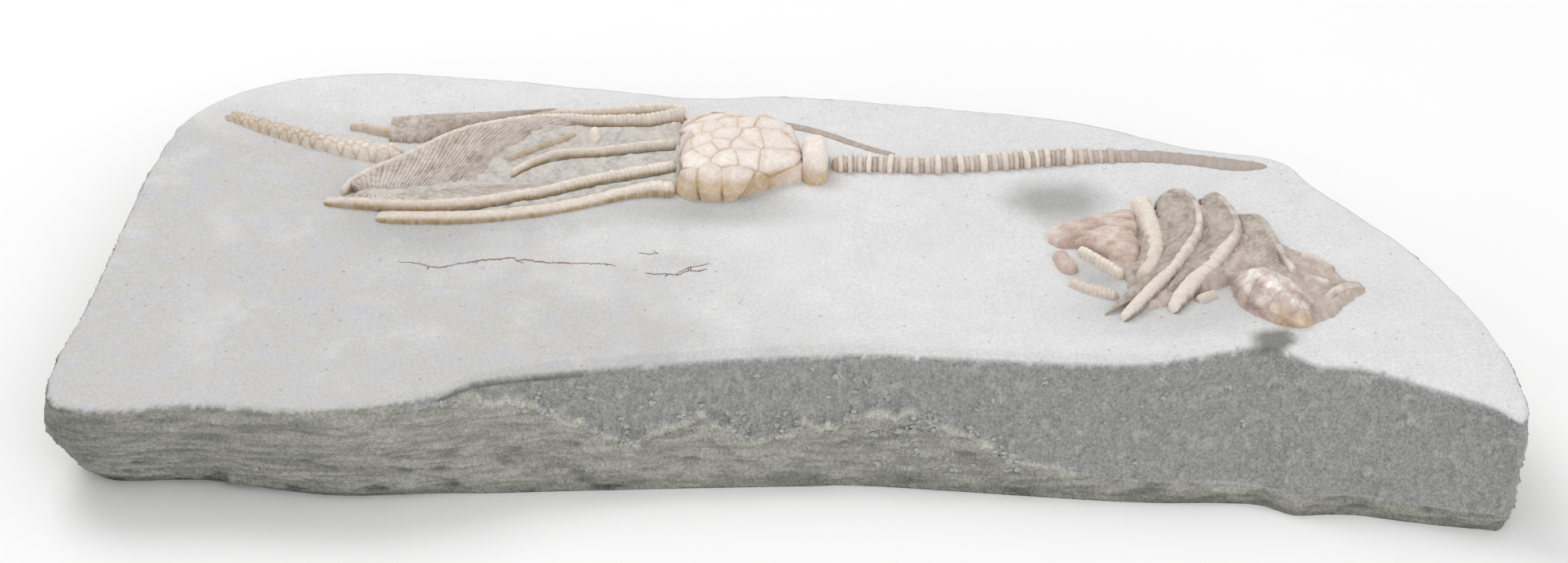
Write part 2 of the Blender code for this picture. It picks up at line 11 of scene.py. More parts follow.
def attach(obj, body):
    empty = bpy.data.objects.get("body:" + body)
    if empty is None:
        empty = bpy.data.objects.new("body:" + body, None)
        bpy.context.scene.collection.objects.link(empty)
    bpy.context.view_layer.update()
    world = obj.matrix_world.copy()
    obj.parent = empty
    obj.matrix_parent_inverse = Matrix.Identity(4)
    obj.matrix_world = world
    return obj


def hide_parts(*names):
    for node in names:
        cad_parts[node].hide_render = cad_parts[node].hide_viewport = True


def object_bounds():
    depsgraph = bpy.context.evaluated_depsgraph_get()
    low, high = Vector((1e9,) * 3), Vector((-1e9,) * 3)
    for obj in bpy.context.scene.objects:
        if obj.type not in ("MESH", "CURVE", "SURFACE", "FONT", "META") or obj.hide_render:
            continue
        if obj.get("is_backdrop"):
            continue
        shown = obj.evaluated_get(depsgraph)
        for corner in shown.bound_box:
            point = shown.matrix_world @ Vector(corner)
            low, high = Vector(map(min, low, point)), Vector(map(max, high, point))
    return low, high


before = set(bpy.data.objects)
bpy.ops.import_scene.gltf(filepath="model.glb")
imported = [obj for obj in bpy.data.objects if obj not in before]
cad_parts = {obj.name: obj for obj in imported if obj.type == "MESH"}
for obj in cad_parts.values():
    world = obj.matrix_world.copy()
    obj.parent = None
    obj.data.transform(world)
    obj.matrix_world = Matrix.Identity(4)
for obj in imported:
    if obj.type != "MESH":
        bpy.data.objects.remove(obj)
cad_low, cad_high = (np.array(corner) * 1000 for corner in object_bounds())

# The slab of rock
#
# A hand-sized block of grey siltstone, split from its bed. Its top is a natural bedding plane,
# cleaned round the fossils, and its front is a fresh granular break above a weathered lower
# bed that stands out like a step. Lengths are in millimetres until a mesh is made.

MM = 0.001
TOP_AT_CENTRE = 14.6
TOP_SLOPE = 0.019
SEAT_DEPTH = 0.5        # the fossils' undersides lie this far below the top face

SLAB_EDGE = [           # X and Y of the rim, its droop, and the wall's belly and foot
    (-83.3, -32.8, 0.2, 0.4, -4.5), (-65.9, -34.3, 0.2, 1.6, -3.0),
    (-52.3, -35.5, 0.2, 1.3, -1.5), (-39.9, -33.1, 0.3, 1.6, 0.6),
    (-34.7, -29.8, 0.5, 3.0, 4.0), (-25.7, -27.9, 0.8, 3.5, 5.5),
    (-12.0, -26.3, 0.8, 4.0, 6.5), (1.8, -25.4, 0.8, 4.0, 7.0), (11.0, -25.4, 0.8, 4.0, 7.0),
    (38.3, -28.3, 0.7, 4.0, 7.0), (50.0, -26.6, 0.4, 5.5, 9.0), (55.9, -25.6, 0.3, 7.0, 10.5),
    (60.5, -29.5, 0.3, 5.5, 8.7), (65.2, -30.4, 0.3, 5.0, 8.0), (69.4, -32.4, 0.3, 4.0, 6.5),
    (78.3, -37.9, 0.3, 1.8, 2.5), (81.8, -41.3, 0.4, 0.3, -0.8), (83.3, -37.3, 0.4, 0.4, -0.4),
    (82.4, -26.1, 0.3, 0.6, 0.2), (79.4, -15.1, 0.3, 0.8, 0.4), (74.8, -4.5, 0.3, 0.8, 0.2),
    (66.1, 9.3, 0.3, 1.2, 0.4), (62.0, 16.1, 0.3, 1.0, 0.2), (50.4, 19.9, 0.2, 0.8, 0.0),
    (37.8, 26.3, 0.2, 1.2, 0.5), (22.6, 30.3, 0.2, 0.8, 0.6), (2.0, 34.1, 0.2, 1.0, 0.2),
    (-13.7, 34.6, 0.2, 1.4, 0.8), (-35.9, 39.8, 0.2, 1.0, 0.4), (-56.3, 42.3, 0.2, 0.5, -0.4),
    (-68.6, 39.6, 0.3, 0.4, -0.8), (-76.0, 33.5, 0.3, 0.5, -1.2),
    (-79.7, 23.0, 0.3, 0.5, -1.0), (-82.5, -8.7, 0.3, 0.3, -1.5),
]
SLAB_SIDES = 1500       # points on the rim's smooth curve
FRONT_STEP, BACK_STEP = 0.26, 1.0           # between the points along the rim
WALL_ROWS = 58
FOOT_ROUND = 1.2        # the height of the rounding at the foot, and of that at the rim
RIM_ROUND = 0.6
TOP_STEPS = (0.2, 0.45, 0.8, 1.3)           # how far in from the rim the top's rings lie
TOP_GRID = 1.1                              # between the points of the rest of the top
BED_SHARE = 0.55        # the height of the bed's edge on the other walls, in their own heights
CORNER_EASE = 52        # points to each side that share in a point's outward direction
LEDGE_GAP = 1.6         # the ledge stays at least this far below the rim
LEDGE_SHARE = 0.8       # how much of the stand-out in LEDGE_LINE it takes
LEDGE_PULL = 5          # rows of points on each side that are drawn to the ledge
BOX_MARGIN = 0.05       # the rock's relief stays this far inside the CAD's box
LEDGE_LINE = [          # X, Z and stand-out of the lower bed's upper edge
    (-84, 10.5, 0.0), (-52, 12.0, 0.4), (-40, 12.4, 0.9), (-34, 11.8, 1.4), (-28, 10.2, 1.5),
    (-22, 7.6, 1.4), (-17, 5.8, 1.2), (-10, 8.8, 1.4), (-4, 5.8, 1.2), (4, 7.0, 1.4),
    (12, 8.8, 1.3), (20, 7.2, 1.0), (27, 4.2, 0.6), (38, 2.6, 0.0), (84, 2.4, 0.0),
]


def rock_top(x):
    """The height of the bedding plane at X."""
    return TOP_AT_CENTRE + TOP_SLOPE * x


def smooth_route(points, count, closed=False):
    """count points, evenly spaced in plan, on a smooth curve through the given points."""
    p = np.array(points, float)
    if closed:
        p = np.vstack([p[-1:], p, p[:2]])
    else:
        p = np.vstack([2 * p[0] - p[1], p, 2 * p[-1] - p[-2]])
    t = np.linspace(0, 1, 25)[:-1, None]
    spans = [
        0.5 * (2 * b + (c - a) * t + (2 * a - 5 * b + 4 * c - d) * t**2
               + (3 * b - a - 3 * c + d) * t**3)
        for a, b, c, d in zip(p, p[1:], p[2:], p[3:])
    ]
    dense = np.vstack(spans + [p[-2:-1]])
    steps = np.linalg.norm(np.diff(dense[:, :2], axis=0), axis=1)
    along = np.concatenate([[0], np.cumsum(steps)])
    wanted = np.linspace(0, along[-1], count, endpoint=not closed)
    return np.stack([np.interp(wanted, along, column) for column in dense.T], axis=1)


def tangents(route, closed=False):
    """The unit direction of travel in plan at each point of a route."""
    plan = route[:, :2]
    if closed:
        step = np.roll(plan, -1, axis=0) - np.roll(plan, 1, axis=0)
    else:
        step = np.gradient(plan, axis=0)
    return step / np.linalg.norm(step, axis=1)[:, None]


def ease(low, high, value):
    """0 below low and 1 above high, with a smooth rise between."""
    share = np.clip((value - low) / (high - low), 0, 1)
    return share * share * (3 - 2 * share)


def lumps(points, size, shift=0.0):
    """Noise from -1 to 1 at points in millimetres, with lumps of about the given size."""
    return np.array([noise.noise(p) for p in (np.asarray(points) / size + shift).tolist()])


def ledge_height(x):
    """The height of the lower bed's ragged upper edge along the front wall."""
    ledge_x, ledge_z, ledge_out = np.transpose(LEDGE_LINE)
    line = np.column_stack([x, 0 * x, 0 * x])
    scallop = 0.55 * lumps(line, 4.3) + 0.4 * lumps(line, 1.7, 7.1) + 0.2 * lumps(line, 0.8, 3.3)
    return np.interp(x, ledge_x, ledge_z) + scallop * np.interp(x, ledge_x, ledge_out)


def slab_grid():
    """Rings from the foot up the walls and a little way in over the top.

    With them comes how far each point lies in from the rim, below zero down the wall.
    """
    edge = smooth_route(SLAB_EDGE, SLAB_SIDES, closed=True)
    normals = np.array([(dy, -dx) for dx, dy in tangents(edge, closed=True)])
    shifts = range(-CORNER_EASE, CORNER_EASE + 1)
    out = sum(np.roll(normals, shift, axis=0) for shift in shifts)
    out /= np.linalg.norm(out, axis=1)[:, None]
    sides = np.hstack([edge, out])
    spacing = np.linalg.norm(edge[1, :2] - edge[0, :2])
    steps = spacing / np.where(out[:, 1] < 0.1, FRONT_STEP, BACK_STEP)
    reached = np.concatenate([[0], np.cumsum(steps)])
    wanted = np.linspace(0, reached[-1], int(reached[-1]), endpoint=False)
    sides = np.vstack([sides, sides[:1]])
    x, y, droop, belly, foot, out_x, out_y = (np.interp(wanted, reached, c) for c in sides.T)
    facing = np.clip(-out_y, 0, 1) ** 2
    rim = rock_top(x) - droop
    ledge_x, _, ledge_out = np.transpose(LEDGE_LINE)
    ledge = facing * ledge_height(x) + (1 - facing) * BED_SHARE * rim
    ledge = np.minimum(ledge, rim - LEDGE_GAP)
    heights = np.array([0 * rim, 0 * rim + FOOT_ROUND, ledge, ledge + 0.4,
                        (ledge + rim) / 2 + 0.2, rim - RIM_ROUND, rim - 0.15, rim])
    share = heights / rim
    reaches = foot * (1 - share) * (1 - 2 * share) + belly * 4 * share * (1 - share)
    reaches[0] -= 0.5 * FOOT_ROUND
    reaches[2] += LEDGE_SHARE * facing * np.interp(x, ledge_x, ledge_out)
    reaches[6] = -0.3 * RIM_ROUND
    reaches[7] = -RIM_ROUND
    z = np.linspace(0, 1, WALL_ROWS)[:, None] * rim
    nearest = np.abs(z - ledge).argmin(axis=0)
    pull = np.take_along_axis(ledge - z, nearest[None], axis=0)
    away = np.abs(np.arange(WALL_ROWS)[:, None] - nearest)
    z = z + pull * np.clip(1 - away / LEDGE_PULL, 0, 1)
    reach = np.array([np.interp(z[:, k], heights[:, k], reaches[:, k]) for k in range(len(x))]).T
    walls = np.stack([x + out_x * reach, y + out_y * reach, z], axis=2)
    steps = np.array(TOP_STEPS)[:, None]
    reach = -RIM_ROUND - steps
    top_x, top_y = x + out_x * reach, y + out_y * reach
    top = np.stack([top_x, top_y, rock_top(top_x)], axis=2)
    top[0, :, 2] = (top[0, :, 2] + rim) / 2
    return np.concatenate([walls, top]), np.concatenate([z - rim, steps + 0 * rim])


def top_fill(ring):
    """Points and triangles that close the top inside its last ring, and the points' insets.

    The triangles count the ring's own points first and the new ones after them.
    """
    low, high = ring.min(axis=0), ring.max(axis=0)
    xs, ys = np.meshgrid(np.arange(low[0], high[0], TOP_GRID), np.arange(low[1], high[1], TOP_GRID))
    x, y = xs.ravel(), ys.ravel()
    x, y = x + 0.3 * np.sin(7.1 * x + 3.3 * y), y + 0.3 * np.sin(5.3 * x - 6.7 * y)
    depth = inside_distance(x, y, ring[:, :2])
    kept = depth > 0.6
    x, y, depth = x[kept], y[kept], depth[kept]
    plan = np.concatenate([ring[:, :2], np.column_stack([x, y])])
    edges = [(k, (k + 1) % len(ring)) for k in range(len(ring))]
    found = geometry.delaunay_2d_cdt([tuple(point) for point in plan.tolist()], edges, [], 1, 1e-6)
    source = [origins[0] for origins in found[3]]
    faces = [[source[k] for k in face] for face in found[2]]
    return np.column_stack([x, y, rock_top(x)]), faces, depth + TOP_STEPS[-1]


def mesh_of(name, verts, faces):
    """A mesh in metres from points in millimetres."""
    mesh = bpy.data.meshes.new(name)
    mesh.from_pydata((np.asarray(verts) * MM).tolist(), [], faces)
    return mesh


def closed_mesh(name, verts, faces):
    """A mesh in metres whose faces all point outwards."""
    mesh = mesh_of(name, verts, faces)
    bm = bmesh.new()
    bm.from_mesh(mesh)
    bmesh.ops.recalc_face_normals(bm, faces=bm.faces)
    bm.to_mesh(mesh)
    bm.free()
    return mesh


def add_piece(name, mesh, finishes, node=None):
    """A piece of the plate in its finishes, standing for a CAD node where one is named."""
    for finish in finishes:
        mesh.materials.append(finish)
    mesh.shade_smooth()
    piece = bpy.data.objects.new(name, mesh)
    bpy.context.scene.collection.objects.link(piece)
    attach(piece, "root")
    if node:
        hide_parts(node)


def skin_faces(rows, columns, start=0):
    """Quads over a grid of closed rings, and a cap at each end."""
    index = start + np.arange(rows * columns).reshape(rows, columns)
    low, high = index[:-1], index[1:]
    quads = np.stack([np.roll(low, 1, 1), low, high, np.roll(high, 1, 1)], axis=-1)
    return quads.reshape(-1, 4).tolist() + [index[0].tolist(), index[-1][::-1].tolist()]


def vertex_values(mesh, field, width):
    """The mesh's points or normals as an array."""
    values = np.empty(len(mesh.vertices) * width, np.float32)
    if field == "normal":
        mesh.vertex_normals.foreach_get("vector", values)
    else:
        mesh.vertices.foreach_get(field, values)
    return values.reshape(-1, width).astype(float)


def paint(mesh, name, values):
    """Keeps one number, or one colour, for each point of a mesh, for its material to read."""
    values = np.asarray(values, float)
    kind, field = ("FLOAT", "value") if values.ndim == 1 else ("FLOAT_COLOR", "color")
    layer = mesh.attributes.new(name, kind, "POINT")
    layer.data.foreach_set(field, values.astype(np.float32).ravel())


def inside_distance(x, y, outline):
    """How far points in plan lie inside a closed outline, below zero outside it."""
    corners = np.array(outline, float)
    nearest = np.full(x.shape, 1e9)
    inside = np.zeros(x.shape, bool)
    for (ax, ay), (bx, by) in zip(corners, np.roll(corners, -1, axis=0)):
        dx, dy = bx - ax, by - ay
        t = np.clip(((x - ax) * dx + (y - ay) * dy) / (dx * dx + dy * dy), 0, 1)
        nearest = np.minimum(nearest, np.hypot(x - ax - t * dx, y - ay - t * dy))
        if dy:
            crosses = (ay > y) != (by > y)
            inside ^= crosses & (x < ax + (y - ay) * dx / dy)
    return np.where(inside, nearest, -nearest)


def grains(points, size, shift=0.0):
    """Rounded grains packed side by side: 1 in the middle of each and 0 in the gaps."""
    places = (np.asarray(points) / size + shift).tolist()
    return np.array([1 - min(1, 1.3 * noise.voronoi(p)[0][0]) for p in places])


def rock_zones(co, normal, inset):
    """How much each point belongs to the top face and to the front wall's fresh break."""
    x, _, z = co.T
    wobble = 0.5 * lumps(co, 1.7, 3.3) + 0.5 * lumps(co, 0.6, 9.1)
    top = ease(-0.3, -0.08, inset + 0.3 * wobble)
    front = ease(0.05, 0.35, -normal[:, 1]) * (1 - top)
    above = ease(-0.02, 0.16, z - ledge_height(x) + 0.08 * wobble)
    return top, front * above * ease(-43.5, -40, x + 2 * wobble)


def roughen(co, normal, top, fresh):
    """Moves the slab's points to give each face the relief of its own kind of break.

    Returns too how far each point stands out of its surroundings, from 0 to 1, which the material
    turns into painted light and shade.
    """
    z = co[:, 2]
    flat = co * (0.16, 0.16, 1.0)
    wave = 0.16 * lumps(co, 13) + 0.08 * lumps(co, 4.2, 5.5) + 0.04 * lumps(co, 1.9, 2.2)
    near = (1 - top) > 0.01
    large, small = np.zeros_like(z), np.zeros_like(z)
    large[near] = grains(co[near], 1.25, 4.4)
    small[near] = grains(co[near] * (1, 1, 1.3), 0.62, 8.8)
    chips = ease(0.2, 0.45, lumps(co, 1.3, 12.5))
    crumbly = 0.2 * (large - 0.45) + 0.26 * (small - 0.45) + 0.26 * chips
    broken = 0.35 * lumps(co, 7, 1.7) + 0.22 * lumps(co, 2.6, 9.4) + crumbly
    streaks = 0.3 * lumps(flat, 1.5, 6.6) - 0.42 * np.abs(lumps(flat, 0.75, 3.9))
    pits = ease(0.2, 0.5, lumps(co * (0.4, 0.4, 1.0), 1.2, 15.2)) * ease(9, 5, z)
    scaly = streaks + 0.2 * (small - 0.45) - 0.3 * pits
    weathered = 0.25 * lumps(co, 6, 2.9) + scaly + 0.12
    side = fresh * broken + (1 - fresh) * weathered - 0.25
    push = top * wave + (1 - top) * side * ease(-0.1, 0.8, z)
    relief_shading = 0.5 + (1 - top) * (fresh * crumbly * 1.2 + (1 - fresh) * scaly * 0.9)
    return co + normal * push[:, None], np.clip(relief_shading, 0, 1)


def build_rock():
    """The slab's mesh with its relief and its colours, and how far in from the rim it is."""
    grid, inset = slab_grid()
    rows, columns = inset.shape
    inner, fill, depth = top_fill(grid[-1])
    last = (rows - 1) * columns
    faces = skin_faces(rows, columns)[:-1] + [[last + k for k in face] for face in fill]
    co, inset = np.concatenate([grid.reshape(-1, 3), inner]), np.append(inset.ravel(), depth)
    mesh = closed_mesh("rock", co, faces)
    normal = vertex_values(mesh, "normal", 3)
    foot = np.arange(columns)
    normal[foot, 2] = 0
    top, fresh = rock_zones(co, normal, inset)
    moved, relief_shading = roughen(co, normal, top, fresh)
    moved[foot, 2] = 0
    moved = np.clip(moved, cad_low + (BOX_MARGIN, BOX_MARGIN, 0), cad_high - BOX_MARGIN)
    mesh.vertices.foreach_set("co", (moved * MM).astype(np.float32).ravel())
    rock_colours(mesh, co, normal, inset, top, fresh, relief_shading)
    return mesh, inset


DARK_SPOTS = [          # X, Y, half length and depth, where it fades out and is full, raggedness
    (-13.5, -6.2, 7, 3.2, 1.2, 0.3, 0.3),       # a stain round the short rust veins
    (33.5, 6.6, 7.5, 6.5, 1.15, 0.3, 0.25),     # a smudge behind the small crown
    (-8, 5.5, 12, 4.2, 1.3, 0.4, 0.35),         # painted shade in front of the main cup
    (45, -17, 14, 7, 1.3, 0.4, 0.3),            # painted shade in front of the small crown
    (37, -10, 4.5, 4, 1.2, 0.4, 0.3),           # and between its first two arms
    (56.5, -24.2, 3.2, 2.6, 1.1, 0.5, 0.2),     # painted shade in the notch below the shell
]
BAND_LINE = [           # X and Y along the main crown's front, which a darker band follows
    (-58, 8), (-50, 5), (-43, 4), (-33, 4.6), (-24, 7), (-16, 9), (0, 9),
]


def rock_colours(mesh, co, normal, inset, top, fresh, relief_shading):
    """Keeps the slab's zones, stains and painted shade on its mesh."""
    x, y, z = co.T
    bed = (1 - top) * (1 - fresh)
    blotch = lumps(co, 9, 4.2) + 0.6 * lumps(co, 3.2, 1.3) + 0.5 * lumps(co, 1.3, 8.5)
    left = ease(0, -55, x + 0.9 * y) * ease(42, 18, y)
    worn = np.clip(0.15 + 0.95 * left + 0.35 * blotch * (0.4 + left), 0, 1)
    stain, smudge, cup_lee_shade, crown, arm_gap_shade, notch_shade = (
        ease(fades, full, np.hypot((x - spot_x) / length, (y - spot_y) / depth) + ragged * blotch)
        for spot_x, spot_y, length, depth, fades, full, ragged in DARK_SPOTS
    )
    worn = top * np.maximum(worn, 0.8 * stain)
    band_line = np.interp(x, *np.transpose(BAND_LINE))
    band = ease(-9, -1, y - band_line + 2.2 * blotch) * ease(-62, -46, x) * ease(3, -5, x)
    band = band * ease(20, 12, y)
    # Painted shade in front of the main cup, in front of the small crown and between its first two
    # arms.
    dark = top * np.clip(0.55 * smudge + 0.2 * band + 0.22 * cup_lee_shade + 0.22 * crown + 0.3 * arm_gap_shade, 0, 1)
    # Painted shade in the notch below the shell, near the top.
    dark = np.maximum(dark, 0.85 * notch_shade * ease(-3, -1.5, z - rock_top(x)))
    # Painted shade on the lower bed: darker in its pits, along its foot and towards the left-hand
    # corner.
    pits = ease(0.2, 0.6, lumps(co * (0.4, 0.4, 1.0), 1.2, 15.2)) * ease(9, 4, z)
    pits = pits * ease(-8, -22, x + 6 * blotch)
    foot = ease(2.6, 0.2, z + 0.8 * blotch)
    corner = 0.45 * ease(-44, -60, x + 5 * blotch) + 0.55 * ease(-74, -82, x)
    dark = dark + bed * np.clip(0.4 * pits + 0.4 * foot + 0.45 * corner, 0, 0.9)
    # Painted shade: a thin dark line where the back rim turns down, and a dark hairline on the
    # front rim for the shade in a crack.
    back_rim_shade = ease(0.1, 0.4, normal[:, 1]) * ease(0.7, 0.2, np.abs(inset))
    crack = ease(0.3, 0.06, np.abs(inset + 0.42)) * ease(-41, -38, x)
    crack = crack * ease(-14, -30, x + 3 * blotch) * ease(-20, -24, y)
    dark = np.maximum(dark, np.maximum(0.6 * back_rim_shade, 0.75 * crack))
    level = z - ledge_height(x)
    edge = (1 - top) * ease(-0.25, -0.02, level) * ease(0.42, 0.2, level) * ease(-42, -36, x)
    edge = edge * ease(36, 28, x) * ease(0, -10, y) * ease(-0.8, -0.15, lumps(co, 0.9, 5.7))
    # The zones' fourth channel carries the stand-out, for painted light on raised points and
    # painted shade in hollows.
    paint(mesh, "zones", np.column_stack([fresh, bed, worn, relief_shading]))
    paint(mesh, "dark", np.clip(dark, 0, 1))
    paint(mesh, "edge", edge)


def linear(code):
    """A colour in linear light, with alpha, from an sRGB hex code."""
    parts = [int(code[i:i + 2], 16) / 255 for i in (1, 3, 5)]
    return tuple(
        c / 12.92 if c <= 0.04045 else ((c + 0.055) / 1.055) ** 2.4 for c in parts
    ) + (1.0,)


def add_node(tree, kind, sockets=None, **settings):
    """A node with its settings, and its sockets given a value or a link."""
    node = tree.nodes.new(kind)
    for name, value in settings.items():
        setattr(node, name, value)
    for name, value in (sockets or {}).items():
        if isinstance(value, bpy.types.NodeSocket):
            tree.links.new(value, node.inputs[name])
        else:
            node.inputs[name].default_value = value
    return node


def per_metre(size):
    """The scale of a pattern whose features are size millimetres across."""
    return 1000 / size


def new_material(name, roughness, ior=1.5):
    """A material with its node tree, its shader and the position that patterns start from."""
    material = bpy.data.materials.new(name)
    material.use_nodes = True
    tree = material.node_tree
    shader = tree.nodes["Principled BSDF"]
    shader.inputs["Roughness"].default_value = roughness
    shader.inputs["IOR"].default_value = ior
    position = add_node(tree, "ShaderNodeTexCoord").outputs["Object"]
    return material, tree, shader, position


def tinted(tree, colour, value, reach, code, most=1.0):
    """The colour under a coat that grows, up to most, as a value runs through its reach."""
    share = add_node(tree, "ShaderNodeMapRange",
                     {"Value": value, "From Min": reach[0], "From Max": reach[1], "To Max": most})
    return add_node(tree, "ShaderNodeMix", {0: share.outputs[0], 6: colour, 7: linear(code)},
                    data_type="RGBA").outputs[2]


def dimmed(tree, colour, value, reach, factors, share=1.0):
    """The colour times a factor that goes between two as a value runs through its reach."""
    factor = add_node(tree, "ShaderNodeMapRange",
                      {"Value": value, "From Min": reach[0], "From Max": reach[1],
                       "To Min": factors[0], "To Max": factors[1]})
    return add_node(tree, "ShaderNodeMix", {0: share, 6: colour, 7: factor.outputs[0]},
                    data_type="RGBA", blend_type="MULTIPLY").outputs[2]


def finish_surface(tree, shader, colour, height, strength, distance, **settings):
    """Gives a material's shader its colour and its fine relief, distance in metres."""
    tree.links.new(colour, shader.inputs["Base Color"])
    bump = add_node(tree, "ShaderNodeBump",
                    {"Height": height, "Strength": strength, "Distance": distance}, **settings)
    tree.links.new(bump.outputs["Normal"], shader.inputs["Normal"])


def make_siltstone(name, face):
    """Fine-grained quartz and clay rock: dull, matt, pale where dry and darker on a break."""
    material, tree, shader, position = new_material(name, 0.94)
    zones = add_node(tree, "ShaderNodeAttribute", attribute_name="zones")
    relief_shading = zones.outputs["Alpha"]
    fresh, bed, worn = add_node(tree, "ShaderNodeSeparateColor",
                                {0: zones.outputs["Color"]}).outputs
    dark, edge = (add_node(tree, "ShaderNodeAttribute", attribute_name=layer).outputs["Fac"]
                  for layer in ("dark", "edge"))
    # Silt grains are finer than 0.06 mm, so they are drawn 0.3 mm across to show at all.
    grain = add_node(tree, "ShaderNodeTexVoronoi",
                     {"Vector": position, "Scale": per_metre(0.3), "Randomness": 1.0})
    salt = add_node(tree, "ShaderNodeTexNoise",
                    {"Vector": position, "Scale": per_metre(0.34), "Detail": 3.0,
                     "Roughness": 0.75})
    shade = add_node(tree, "ShaderNodeMapRange",
                     {"Value": salt.outputs["Fac"], "From Min": 0.34, "From Max": 0.66}).outputs[0]
    lump = add_node(tree, "ShaderNodeTexVoronoi",
                    {"Vector": position, "Scale": per_metre(0.7), "Randomness": 1.0})
    cloud = add_node(tree, "ShaderNodeTexNoise",
                     {"Vector": position, "Scale": per_metre(3.4), "Detail": 5.0,
                      "Roughness": 0.62})
    # Bedding shows on the weathered bed as streaks, six times as long as they are high.
    lie = add_node(tree, "ShaderNodeMapping", {"Vector": position, "Scale": (0.16, 0.16, 1.0)})
    streak = add_node(tree, "ShaderNodeTexNoise",
                      {"Vector": lie.outputs[0], "Scale": per_metre(0.6), "Detail": 1.0})
    # Dark mineral specks, 0.3 mm across and 2.6 mm apart.
    speck = add_node(tree, "ShaderNodeTexVoronoi",
                     {"Vector": position, "Scale": per_metre(2.6), "Randomness": 1.0})
    stain = add_node(tree, "ShaderNodeMapRange",
                     {"Value": cloud.outputs["Fac"], "From Min": 0.42, "From Max": 0.58})
    worn_colour = add_node(tree, "ShaderNodeMix",
                           {0: stain.outputs[0], 6: linear("#c9c9cb"), 7: linear("#c7c5c0")},
                           data_type="RGBA")
    colour = linear(face)
    # The dark layer holds stains and painted shade alike.
    for share, tone in ((worn, worn_colour.outputs[2]), (bed, linear("#b3b3aa")),
                        (fresh, linear("#a9aaa8")), (dark, linear("#6b6c66")),
                        (edge, linear("#d2d0c6"))):
        colour = add_node(tree, "ShaderNodeMix", {0: share, 6: colour, 7: tone},
                          data_type="RGBA").outputs[2]
    walls = add_node(tree, "ShaderNodeMath", {0: fresh, 1: bed}, operation="ADD").outputs[0]
    # Painted light and shade: points that stand out are drawn up to 1.22 times lighter, hollows
    # down to 0.72 times.
    colour = dimmed(tree, colour, relief_shading, (0, 1), (0.72, 1.22))
    for value, plain, rough in ((shade, 0.9, 0.7), (cloud.outputs["Fac"], 0.92, 0.92)):
        deep = add_node(tree, "ShaderNodeMapRange",
                        {"Value": walls, "To Min": plain, "To Max": rough})
        colour = dimmed(tree, colour, value, (0, 1), (deep.outputs[0], 1.1))
    colour = dimmed(tree, colour, streak.outputs["Fac"], (0.36, 0.58), (0.76, 1.06), bed)
    colour = dimmed(tree, colour, speck.outputs["Distance"], (0.05, 0.1), (0.74, 1.0))
    relief = add_node(tree, "ShaderNodeMath",
                      {0: grain.outputs["Distance"], 1: lump.outputs["Distance"]},
                      operation="ADD")
    height = add_node(tree, "ShaderNodeMapRange",
                      {"Value": walls, "To Min": 0.25, "To Max": 0.9})
    finish_surface(tree, shader, colour, relief.outputs[0], height.outputs[0], 0.00025,
                   invert=True)
    return material


siltstone = make_siltstone("siltstone", "#e3e3e4")
rock_mesh, rock_inset = build_rock()
add_piece("rock", rock_mesh, (siltstone,), "rock_slab")
rock_surface = BVHTree.FromPolygons(
    [tuple(vert.co) for vert in rock_mesh.vertices],
    [tuple(face.vertices) for face in rock_mesh.polygons],
)


RAY_START = 0.03        # metres above the floor, clear of the slab


def rock_height(x, y):
    """The height of the roughened top face at a point in plan, in millimetres."""
    hit = rock_surface.ray_cast((x * MM, y * MM, RAY_START), (0, 0, -1))[0]
    return hit.z / MM if hit else rock_top(x)


# Crumbs on the ledge and in the break
#
# Flakes and grains of the same siltstone still cling along the lower bed's edge and in the
# hollows of the fresh break. They are paler where they are dry and loose, and a little
# lighter still as painted light on things that stand out.

CRUMBS = 480
CRUMB_STRETCH = (-42, 60)                   # X of the stretch of the front wall they cling to
CRUMB_LEAST, CRUMB_SPREAD = 0.1, 0.32       # the smallest radius, and how much larger they get


def build_crumbs():
    """One mesh of small broken lumps, each set into the face of the rock behind it."""
    rng = Random(41)
    co = vertex_values(rock_mesh, "co", 3) / MM
    normal = vertex_values(rock_mesh, "normal", 3)
    x, y, z = co.T
    level = z - ledge_height(x)
    front = (rock_inset < -0.8) & (normal[:, 1] < -0.25) & (x > CRUMB_STRETCH[0])
    front &= x < CRUMB_STRETCH[1]
    clump = lumps(co, 3.5, 6.3) > 0.05
    near = np.flatnonzero(front & (abs(level - 0.1) < 0.5) & (x < 30) & clump)
    foot = np.flatnonzero(front & (level < -0.2) & (abs(x - 19) < 9) & (z > 2.5) & clump)
    above = np.flatnonzero(front & (level > 0.3) & (level < 4) & (x < 22) & clump)
    loose = np.flatnonzero(front & (level > 0.3))
    ball = bmesh.new()
    bmesh.ops.create_icosphere(ball, subdivisions=2, radius=1.0)
    shape = np.array([vert.co for vert in ball.verts])
    ball_faces = [[vert.index for vert in face.verts] for face in ball.faces]
    ball.free()
    verts, faces = [], []
    for n in range(CRUMBS):
        pool = (near, near, foot, above, near, loose)[n % 6]
        seat = co[pool[rng.randrange(len(pool))]]
        size = CRUMB_LEAST + CRUMB_SPREAD * rng.random() ** 2.2
        stretch = np.array([rng.uniform(0.8, 1.5), rng.uniform(0.6, 1.0), rng.uniform(0.5, 0.9)])
        dents = 1 + 0.9 * lumps(shape, 0.8, n * 1.7)
        verts.append(seat + shape * dents[:, None] * stretch * size)
        faces += [[len(shape) * n + i for i in face] for face in ball_faces]
    return mesh_of("rock_crumbs", np.clip(np.vstack(verts), cad_low, cad_high), faces)


crumb_mesh = build_crumbs()
crumb_count = len(crumb_mesh.vertices)
# The fourth value, 0.66, draws the crumbs a little lighter as painted light.
paint(crumb_mesh, "zones", np.tile([0.7, 0.3, 0.0, 0.66], (crumb_count, 1)))
paint(crumb_mesh, "dark", np.zeros(crumb_count))
paint(crumb_mesh, "edge", np.full(crumb_count, 0.22))
add_piece("rock_crumbs", crumb_mesh, (siltstone,))

# Rust veins
#
# Hairline cracks in front of the main crown, filled with brown iron oxide. Water carried it
# in, and it stands a little proud of the stone.

